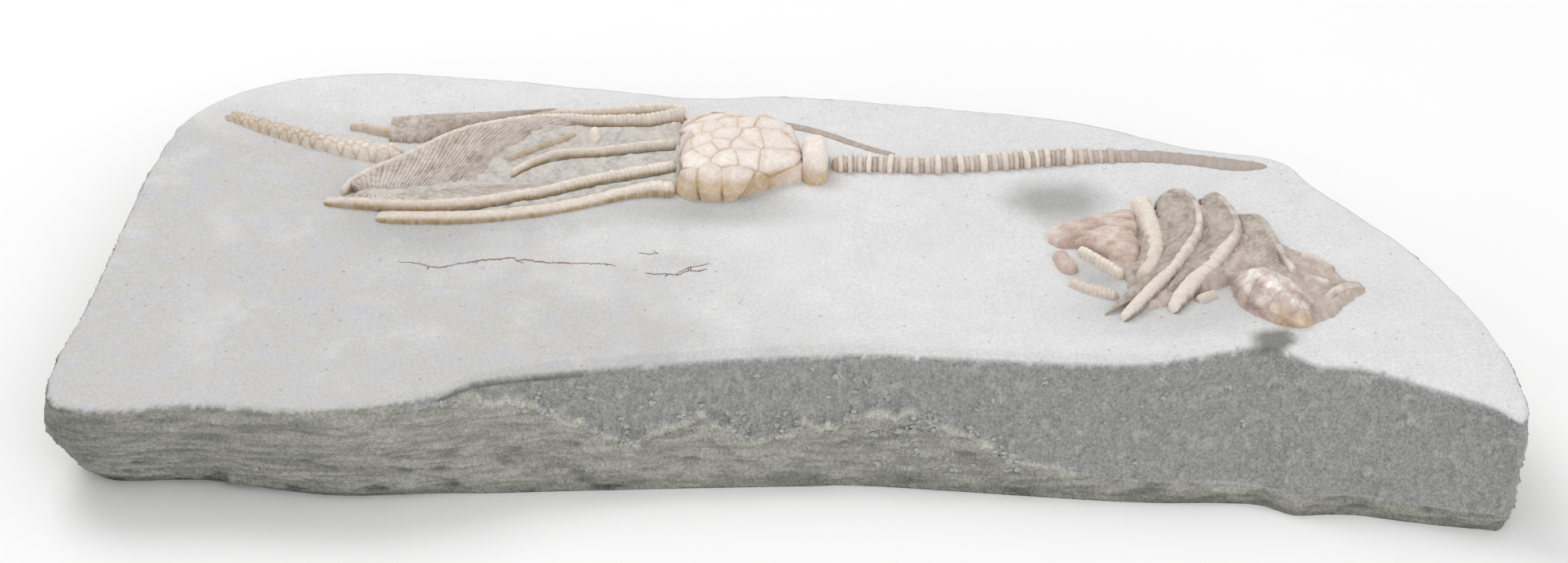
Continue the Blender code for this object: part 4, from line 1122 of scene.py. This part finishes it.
def build_ring():
    """The smooth barrel between cup and stem, faintly waisted into two bands."""
    x = np.linspace(RING_STATIONS[0][0], RING_STATIONS[-1][0], 50)
    fine = smooth_route([(a, 0, r) for a, r in RING_STATIONS], 80)
    radius = np.interp(x, fine[:, 0], fine[:, 2])
    gap = np.clip(np.minimum(x - x[0], x[-1] - x) / 0.7, 0, 1)
    radius = radius * (0.86 + 0.14 * np.sqrt(1 - (1 - gap) ** 2))
    turn = np.linspace(0, math.pi, 90)[None, :]
    y = RING_Y - radius[:, None] * np.cos(turn)
    z = rock_top(x)[:, None] + radius[:, None] * np.sin(turn) ** 0.75
    grid = np.stack([np.broadcast_to(x[:, None], y.shape), y, z], axis=2)
    rough = lumps(grid.reshape(-1, 3), 1.5, 3.1).reshape(y.shape)
    grid += outward(grid) * (0.07 * rough)[:, :, None]
    low = ease(3.1, 1.2, grid[:, :, 2] - rock_top(grid[:, :, 0]))
    return seated(grid, 0.95 - 0.6 * low + 0.08 * rough, 0.3 + 0 * low)


set_fossil("basal_ring", [build_ring()], (pale_calcite,))

# The stems
#
# A stack of thin calcite discs threaded on one another, with a larger one about every
# 2.7 mm. The far end has worn down level with the stone. A thinner stem lies behind the cup.

STEM_ROUTE = [
    (6.0, 15.5), (11.9, 15.2), (16.9, 14.7), (21.9, 14.9), (26.9, 15.3), (32.0, 16.0),
    (37.0, 16.4), (42.0, 16.6), (47.0, 16.5), (51.9, 15.5), (56.8, 14.2), (60.4, 13.9),
]
STEM_RADIUS = 1.3
STEM_CENTRE = 0.3
THIN_STEM_ROUTE = [
    (-9.6, 29.4), (-5.6, 28.2), (-1.0, 26.6), (2.8, 25.1), (6.0, 23.2), (9.0, 21.0),
    (12.0, 19.1), (14.2, 18.1),
]
THIN_STEM_RADIUS = 0.65
DISC_SIZES = (1.22, 0.88, 1.05, 0.9)        # of a large disc and of those up to the next
DISC_TONES = (1.1, 0.6, 0.85, 0.6)
DISC_LENGTHS = (0.85, 0.6, 0.7, 0.55)
STEM_STATION = 0.085    # from one section of a stem to the next
STEM_SECTION = 28       # points over a stem's section


def disc_rod(points, radius, centre, lengths, sizes, tones, worn=(1.0, 1.0), seed=5,
             groove=0.16):
    """A stem of discs, half sunk. worn runs from 1, whole, to 0, worn level with the stone."""
    length = route_length(points)
    stations = int(length / STEM_STATION)
    route = smooth_route(points, stations)
    sides = left_sides(route)
    along = np.linspace(0, length, stations)[:, None]
    rng = np.random.default_rng(seed)
    bounds = [-1.0]
    while bounds[-1] < length + 1:
        length_here = lengths[(len(bounds) - 1) % len(lengths)]
        bounds.append(bounds[-1] + length_here * rng.uniform(0.75, 1.3))
    bounds = np.array(bounds)
    kinds = np.arange(len(bounds)) % len(lengths)
    low = math.asin(min(0.95, (centre + SEAT_DEPTH) / radius))
    turn = np.linspace(-low, math.pi + low, STEM_SECTION)[None, :]
    ripple = laid(route, sides, radius * np.cos(turn) + 0 * along, 0 * along + 0 * turn)
    place = along + 0.16 * lumps(ripple.reshape(-1, 3), 2.0, seed).reshape(ripple.shape[:2])
    disc = np.clip(np.searchsorted(bounds, place) - 1, 0, len(bounds) - 2)
    share = (place - bounds[disc]) / (bounds[disc + 1] - bounds[disc])
    joint = np.clip(np.abs(2 * share - 1), 0, 1) ** 3
    whole = np.interp(along, np.linspace(0, length, len(worn)), worn)
    size = np.array(sizes)[kinds] * (1 + rng.uniform(-0.06, 0.06, len(kinds)))
    size = 1 + (size[disc] * (1 - groove * joint) - 1) * (0.15 + 0.85 * whole)
    tip = (length - along) / (1 + 4 * (1 - worn[-1]))
    end = np.clip(np.minimum(along, tip) / (0.8 * radius), 0, 1)
    reach = radius * size * (0.35 + 0.65 * np.sqrt(1 - (1 - end) ** 2))
    middle = centre - (1 - whole) * 0.55 * radius
    offsets = reach * np.cos(turn) * (1.2 - 0.2 * whole)
    heights = middle + reach * np.sin(turn) * (0.75 + 0.25 * whole)
    heights = np.maximum(heights, -SEAT_DEPTH)
    grid = laid(route, sides, offsets, heights)
    rough = lumps(grid.reshape(-1, 3), 0.8, seed).reshape(heights.shape)
    grid[:, :, 2] += 0.06 * rough
    lit = np.clip(heights / radius, 0, 1) ** 0.7
    tone = (np.array(tones)[kinds] + rng.uniform(-0.15, 0.15, len(kinds)))[disc] - 0.35 * joint
    tone = 0.38 + (tone - 0.38) * (0.1 + 0.9 * whole)
    tone = tone * (0.6 + 0.4 * lit) + 0.15 * rough
    tint = rng.uniform(0, 1, len(kinds))[disc] * whole + (1 - whole) * (2.0 + 0.5 * rough)
    return grid, tone, tint, 0


stem_calcite = make_calcite(
    "stem calcite", ("#9a8371", "#b9a595", "#d6c7bb", "#f5ede2", "#aea49d"), 0.55, 0.35)
set_fossil("main_stem", [
    disc_rod(STEM_ROUTE, STEM_RADIUS, STEM_CENTRE, DISC_LENGTHS, DISC_SIZES, DISC_TONES,
             worn=(1, 1, 1, 1, 1, 1, 0.9, 0.5, 0.1, 0, 0, 0)),
], (stem_calcite,))
set_fossil("thin_stem", [
    disc_rod(THIN_STEM_ROUTE, THIN_STEM_RADIUS, -0.05, (0.8, 0.7), (1.02, 0.98), (0.5, 0.34),
             worn=(0.35, 0.35), seed=6, groove=0.03),
], (stem_calcite,))

# The anal tube
#
# A tapering chimney of small calcite plates that rose from the top of the crown. Its plates
# are larger and paler near the crown and small and brown at the tip.

TUBE_ROUTE = [
    (-72.3, 30.2, 0.8), (-70.5, 29.6, 1.2), (-67.1, 27.6, 1.3), (-63.7, 25.6, 1.4),
    (-60.4, 23.8, 1.5), (-57.1, 22.2, 1.6), (-54.4, 21.1, 1.7), (-51.7, 20.1, 1.8),
    (-48.4, 20.1, 1.6),
]
TUBE_HALF_WIDTH = 1.55
TUBE_STATION = 0.13     # from one section of the tube to the next
TUBE_SECTION = 40       # points over its section


def build_tube():
    """The tube's skin, with plates in staggered rows."""
    length = route_length(TUBE_ROUTE)
    rows = int(length / TUBE_STATION)
    route = smooth_route(TUBE_ROUTE, rows)
    sides = left_sides(route)
    along = np.linspace(0, length, rows)
    width = np.interp(along, (0, length), (0.6, 1.0)) * TUBE_HALF_WIDTH
    end = np.clip(np.minimum(along, length - along) / 1.2, 0, 1)
    width = width * (0.3 + 0.7 * np.sqrt(1 - (1 - end) ** 2))
    turn = np.linspace(0, math.pi, TUBE_SECTION)[None, :]
    offsets = width[:, None] * np.cos(turn)
    heights = (route[:, 2] * (0.4 + 0.6 * end))[:, None] * np.sin(turn) ** 0.7
    grid = laid(route, sides, offsets, heights)
    plan = []
    place, row = 0.5, 0
    while place < length:
        k = min(rows - 1, int(place / length * rows))
        for share in ((-0.62, 0.1), (-0.85, -0.3, 0.62))[row % 2]:
            plan.append(route[k, :2] + sides[k] * share * width[k])
        place += np.interp(place, (0, length), (0.62, 1.25))
        row += 1
    grid, tone, tint = plated_skin(grid, plan, 71, step=0.14, lean=0.12, level=0.3, soft=0.3)
    pale = ease(9, 22, along)[:, None]
    return seated(grid, tone * (0.72 + 0.3 * pale) + 0.06 * pale, tint)


set_fossil("anal_tube", [build_tube()], (crinoid_calcite,))

# The loose ossicle
#
# One round calcite disc from an arm or stem, lying loose among the main crown's arms.

OSSICLE = (-24.0, 21.6, 0.95, 1.45, 2.7)     # X, Y, half length, half width and height


def build_ossicle():
    """A low smooth dome."""
    x, y, half_length, half_width, height = OSSICLE
    along = np.linspace(-math.pi / 2, math.pi / 2, 24)[:, None]
    turn = np.linspace(0, math.pi, 24)[None, :]
    px = x + half_length * np.sin(along) + 0 * turn
    py = y - half_width * np.cos(along) * np.cos(turn)
    pz = rock_top(x) + height * np.cos(along) ** 0.6 * np.sin(turn) ** 0.7
    grid = np.stack([px, py, pz], axis=2)
    rough = lumps(grid.reshape(-1, 3), 0.8, 2.2).reshape(px.shape)
    grid[:, :, 2] += 0.06 * rough
    return seated(grid, 0.85 + 0.1 * rough, 0.6 + 0 * rough)


set_fossil("loose_ossicle", [build_ossicle()], (pale_calcite,))

# The small crown
#
# A second, smaller sea lily, curled over. Its arms bend round like fingers, each a ridge of
# plates with a broad hatched sheet of pinnules on its inner side. Its cup is crushed.

SMALL_CUP_STATIONS = [
    (31.8, -3.2, -1.0, 0.9), (33.4, -4.4, -0.2, 1.5), (35.0, -4.4, 0.4, 1.8),
    (37.0, -5.6, 1.2, 2.0), (39.0, -7.9, 2.0, 2.1), (40.6, -9.1, 2.7, 2.1),
    (42.6, -8.9, 3.2, 1.9),
]
SMALL_CUP_PLATES = [
    (32.4, -1.9), (34.3, -1.0), (34.6, -3.3), (36.8, -0.4), (36.9, -2.9), (36.4, -4.8),
    (39.0, 0.2), (39.3, -2.0), (39.0, -4.3), (38.7, -6.6), (41.2, 1.0), (41.3, -1.2),
    (41.2, -3.6), (41.0, -6.0), (40.6, -8.2),
]
RADIAL = [(32.9, -5.9, 1.2), (33.4, -8.0, 1.4), (34.3, -10.2, 1.2)]
SMALL_ARMS = {          # node: route, half width, ivory at both ends, joint pitch and depth
    "small_arm_1": ([(35.3, -5.5, 1.2), (37.1, -7.5, 1.3), (39.2, -10.2, 1.3),
                     (40.1, -11.3, 1.1)], 0.62, (1.0, 0.9), 0.75, 0.1),
    "small_arm_2": ([(33.8, -12.2, 0.9), (36.1, -14.0, 1.0), (39.2, -15.4, 0.9)],
                    0.75, (0.4, 0.4), 0.55, 0.1),
    "small_arm_3": ([(43.5, 5.3, 1.9), (44.1, 0.8, 2.1), (44.4, -3.8, 2.1),
                     (44.2, -7.3, 2.0), (43.2, -10.6, 1.7), (42.3, -12.5, 1.1)],
                    1.3, (0.85, 0.4), 0.9, 0.02),
    "small_arm_4": ([(45.5, 3.2, 1.6), (46.3, 4.5, 2.0), (47.9, 5.3, 2.3), (49.4, 4.0, 2.5),
                     (50.2, 0.8, 2.6), (49.9, -3.4, 2.6), (48.6, -6.9, 2.6),
                     (46.2, -11.2, 2.3), (43.5, -15.0, 1.9), (40.9, -18.5, 1.4),
                     (39.3, -20.4, 0.8)],
                    (0.5, 0.5, 0.56, 0.7, 0.75, 0.6), (-0.2, 1.7), 0.75, 0.04),
    "small_arm_5": ([(50.4, 3.4, 1.2), (52.2, 4.4, 2.2), (53.5, 2.8, 2.4), (54.4, -0.8, 2.6),
                     (54.4, -4.4, 2.6), (52.8, -7.6, 2.5), (51.0, -10.5, 2.3),
                     (48.9, -13.0, 1.9), (46.7, -16.1, 1.5), (45.2, -18.9, 0.9)],
                    (0.5, 0.5, 0.56, 0.95, 1.0, 0.7), (-0.2, 1.7), 0.75, 0.04),
    "small_arm_6": ([(54.8, -0.2, 1.2), (56.7, 0.3, 1.7), (57.8, -1.2, 1.9), (58.3, -3.4, 2.1),
                     (58.7, -5.8, 2.1), (59.3, -8.2, 1.9), (60.0, -10.6, 1.5),
                     (60.4, -12.2, 1.0)], 0.56, (0.1, 0.25), 0.7, 0.04),
    "small_arm_7": ([(48.3, -16.6, 0.8), (49.4, -15.9, 0.9), (50.7, -15.1, 0.8)],
                    0.5, (0.5, 0.5), 0.6, 0.1),
    "small_arm_8": ([(61.4, -7.9, 1.2), (62.6, -8.5, 1.3), (64.0, -9.6, 1.1),
                     (64.7, -11.0, 0.7)], 0.65, (0.6, 0.5), 0.6, 0.1),
    "small_arm_9": ([(61.2, -12.7, 1.0), (62.5, -13.0, 1.1), (64.3, -13.8, 0.8)],
                    0.6, (0.6, 0.5), 0.6, 0.1),
    "small_arm_10": ([(63.1, -17.6, 1.0), (64.2, -16.1, 1.2), (65.7, -14.9, 1.2),
                      (67.7, -14.3, 0.9)], 0.55, (0.5, 0.8), 0.6, 0.1),
}
SMALL_FANS = {          # node: the sheet's outer edge, its span of the arm and its edge's height
    "small_arm_3": ([(43.0, -2.5), (42.3, -7.0), (41.3, -10.8), (40.6, -12.6)],
                    (0.42, 1.0), 0.7),
    "small_arm_4": ([(45.4, 3.2), (45.3, 1.0), (45.3, -3.0), (45.1, -7.0), (43.8, -10.8),
                     (41.4, -14.2), (38.8, -17.4), (37.2, -19.2)], (0.0, 1.0), 1.3),
    "small_arm_5": ([(50.8, 4.0), (50.9, 0.5), (50.6, -3.6), (49.4, -7.2), (47.3, -10.8),
                     (45.4, -13.9), (43.8, -17.2)], (0.0, 0.95), 1.3),
    "small_arm_6": ([(55.1, 0.6), (55.1, -3.0), (54.8, -5.5), (54.2, -8.5), (55.4, -12.8)],
                    (0.0, 1.0), 1.3),
}
CRUSTED_ARMS = ("small_arm_8", "small_arm_9", "small_arm_10")

small_grid, small_tone, small_tint = plated_skin(
    dome_grid(SMALL_CUP_STATIONS, 110, 110, 0.9), SMALL_CUP_PLATES, 61, groove=0.0,
    step=0.16, lean=0.16, level=-0.15, soft=0.9)
folds = small_grid.reshape(-1, 3) * (0.45, 1.0, 0.6)      # creases run along the cup
small_rough = lumps(folds, 1.1, 4.9) + 0.6 * lumps(folds, 0.5, 8.1)
small_rough = small_rough.reshape(small_tone.shape)
small_grid[:, :, 2] += 0.24 * small_rough
stub = ease(34.0, 32.4, small_grid[:, :, 0])
crown_calcite = make_calcite(
    "crushed calcite", ("#a08576", "#c0a79a", "#d8c5bb", "#efe4da", "#c9b3a9"), 0.5, 0.35)
around = np.linspace(0, 1, small_tone.shape[1])
back_edge = ease(0.6, 0.72, around) * ease(0.95, 0.85, around)
small_veins = 0.62 - 0.3 * small_tone + 0.42 * small_rough + 0.25 * back_edge
set_fossil("small_cup", [
    seated(small_grid, small_veins + 0.4 * stub, small_tint),
], (crown_calcite,))
set_fossil("small_radial", [beaded_rod(RADIAL, 1.05, 2.2, 0.06, 0.1, (0.0, 0.1), 31)],
           (crown_calcite,))
for number, (node, (points, half_width, pale, pitch, depth)) in enumerate(SMALL_ARMS.items()):
    fan = SMALL_FANS.get(node)
    thin = fan is not None and node != "small_arm_3"        # a low ridge along a wide sheet
    crusted = thin or node in CRUSTED_ARMS
    back, plain = 0.1, (0, 0)
    if thin:
        back, plain = 0.85, (1.0, 0.2)
    elif crusted or fan:
        plain = (0.8, 0.8)
    rod = beaded_rod(points, half_width, pitch, depth, 0.25, pale, 32 + number,
                     back=back, plain=plain)
    mottle = crusted * 0.45 * lumps(rod[0].reshape(-1, 3), 1.1, 3.9).reshape(rod[1].shape)
    skins = [(rod[0], rod[1] + mottle, 0.4 * rod[2], int(crusted))]
    if fan:
        fan_edge, fan_span, fan_height = fan
        skins.append(pinnule_fan(points, fan_edge, fan_span, lambda x, y: fan_height + 0 * x,
                                 -0.22, 0.36, 0.2, 62 + number, 0.45, 0.04, 0.03, 0.12))
    set_fossil(node, skins, ARM_FINISHES)

# The cap shell
#
# A small snail-like shell held in the small crown's arms. Its calcite kept some of the
# polish: pinkish violet with white patches, fine growth ridges, and amber at the near end.

SHELL = (57.2, -17.4, 6.3, 3.5, 3.9, -53)   # X, Y, half length, half width, height, turn


def build_shell():
    """Rings from one end of the shell to the other, swollen and ridged by its growth."""
    x, y, half_length, half_width, height, turn = SHELL
    turn = math.radians(turn)
    rows, columns = 110, 96
    along = np.linspace(-math.pi / 2, math.pi / 2, rows)[:, None]
    around = np.linspace(0, 2 * math.pi, columns, endpoint=False)[None, :]
    u = np.sin(along) + 0 * around
    v = np.cos(along) * np.cos(around)
    w = np.cos(along) * np.sin(around)
    body = np.stack([u, v, w], axis=2)
    flat = body.reshape(-1, 3)
    swell = 1.0 - 0.12 * u
    growth = 0.006 * np.sin(u * 26 + 4 * lumps(flat, 0.6, 1.0).reshape(u.shape))
    folds = (0.06 * lumps(flat, 0.55, 3.0) + 0.03 * lumps(flat, 0.22, 6.0)).reshape(u.shape)
    size = 1 + growth + folds - 0.05
    px, py = u * half_length * size, v * half_width * swell * size
    pz = w * height * swell * size
    pz = np.maximum(pz, -SEAT_DEPTH)
    gx = x + px * math.cos(turn) - py * math.sin(turn)
    gy = y + px * math.sin(turn) + py * math.cos(turn)
    grid = np.stack([gx, gy, rock_top(gx) + pz], axis=2)
    patch = lumps(flat, 0.45, 8.0).reshape(u.shape)
    # Painted light: the tone grows lighter towards the shell's top.
    tone = 0.5 + 0.5 * patch + 5 * growth + 0.2 * w
    amber = ease(0.05, 1.0, u + 0.45 * patch) * ease(0.85, 0.0, w + 0.4 * v)
    return grid, tone, amber, 0


def make_shell_calcite():
    """Fossil shell: dense calcite that still takes a shine, clouded violet, white and amber."""
    material, tree, shader, position = new_material("shell calcite", 0.34, ior=1.6)
    shader.inputs["Coat Weight"].default_value = 0.35
    shader.inputs["Coat Roughness"].default_value = 0.22
    tone, amber = (add_node(tree, "ShaderNodeAttribute", attribute_name=layer).outputs["Fac"]
                   for layer in ("tone", "tint"))
    cloud = add_node(tree, "ShaderNodeTexNoise",
                     {"Vector": position, "Scale": per_metre(1.6), "Detail": 5.0,
                      "Roughness": 0.6, "Distortion": 0.8})
    level = clouded(tree, tone, cloud, 0.3)
    colour = linear("#957d76")
    for reach, code in (((0.0, 0.35), "#b59f97"), ((0.35, 0.6), "#cdbbb2"),
                        ((0.66, 0.95), "#f0e8e2")):
        colour = tinted(tree, colour, level, reach, code)
    colour = tinted(tree, colour, amber, (0, 1), "#c9a36a", most=0.6)
    # Cracks part the shell's outer layer into flakes about 3 mm across.
    flakes = add_node(tree, "ShaderNodeTexVoronoi",
                      {"Vector": position, "Scale": per_metre(3.2)},
                      feature="DISTANCE_TO_EDGE")
    crack = add_node(tree, "ShaderNodeMapRange",
                     {"Value": flakes.outputs["Distance"], "From Max": 0.05,
                      "To Min": 0.78, "To Max": 1.0})
    colour = add_node(tree, "ShaderNodeMix", {0: 1.0, 6: colour, 7: crack.outputs[0]},
                      data_type="RGBA", blend_type="MULTIPLY").outputs[2]
    finish_surface(tree, shader, colour, crack.outputs[0], 0.5, 0.00015)
    return material


set_fossil("cap_shell", [build_shell()], (make_shell_calcite(),))

# The room
#
# A pale floor without seams, a large soft light above and behind, and the camera in front.

floor_mesh = bpy.data.meshes.new("floor")
floor_mesh.from_pydata([(-3, -3, 0), (3, -3, 0), (3, 3, 0), (-3, 3, 0)], [], [(0, 1, 2, 3)])
paper, paper_tree, paper_shader, paper_position = new_material("white paper", 0.9)
fibres = add_node(paper_tree, "ShaderNodeTexNoise",
                  {"Vector": paper_position, "Scale": per_metre(40), "Detail": 3.0})
shade = add_node(paper_tree, "ShaderNodeMix",
                 {0: fibres.outputs["Fac"], 6: linear("#f6f6f6"), 7: linear("#fafafa")},
                 data_type="RGBA")
paper_tree.links.new(shade.outputs[2], paper_shader.inputs["Base Color"])
floor_mesh.materials.append(paper)
floor = bpy.data.objects.new("floor", floor_mesh)
bpy.context.scene.collection.objects.link(floor)
floor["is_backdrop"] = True

world = bpy.data.worlds.new("studio")
world.use_nodes = True
world.node_tree.nodes["Background"].inputs["Color"].default_value = linear("#fbfbfb")
world.node_tree.nodes["Background"].inputs["Strength"].default_value = 0.72
bpy.context.scene.world = world

LIGHTS = [              # name, place, aim, size in metres, and power in watts
    ("key", (-0.35, 0.45, 0.75), (0, 0, 0.01), 0.5, 3.2),
    ("fill", (0.4, -0.8, 0.45), (0, 0, 0.01), 0.7, 2.6),
]
for name, place, aim, size, power in LIGHTS:
    lamp = bpy.data.lights.new(name, "AREA")
    lamp.size = size
    lamp.energy = power
    light = bpy.data.objects.new(name, lamp)
    light.location = place
    aim_line = np.array(aim) - np.array(place)
    flat_run = math.hypot(aim_line[0], aim_line[1])
    light.rotation_euler = (math.atan2(flat_run, -aim_line[2]), 0,
                            math.atan2(-aim_line[0], aim_line[1]))
    bpy.context.scene.collection.objects.link(light)

CAMERA_DISTANCE = 0.400
CAMERA_ELEVATION = math.radians(33)
CAMERA_TARGET = (0, -0.0005, 0.008)
camera_data = bpy.data.cameras.new("camera")
camera_data.lens = 75
camera_data.sensor_width = 36
camera_data.clip_start = 0.01
camera = bpy.data.objects.new("camera", camera_data)
camera.location = (
    CAMERA_TARGET[0],
    CAMERA_TARGET[1] - CAMERA_DISTANCE * math.cos(CAMERA_ELEVATION),
    CAMERA_TARGET[2] + CAMERA_DISTANCE * math.sin(CAMERA_ELEVATION),
)
camera.rotation_euler = (math.pi / 2 - CAMERA_ELEVATION, 0, 0)
bpy.context.scene.collection.objects.link(camera)
bpy.context.scene.camera = camera
bpy.context.scene.view_settings.view_transform = "Standard"

bpy.context.view_layer.update()
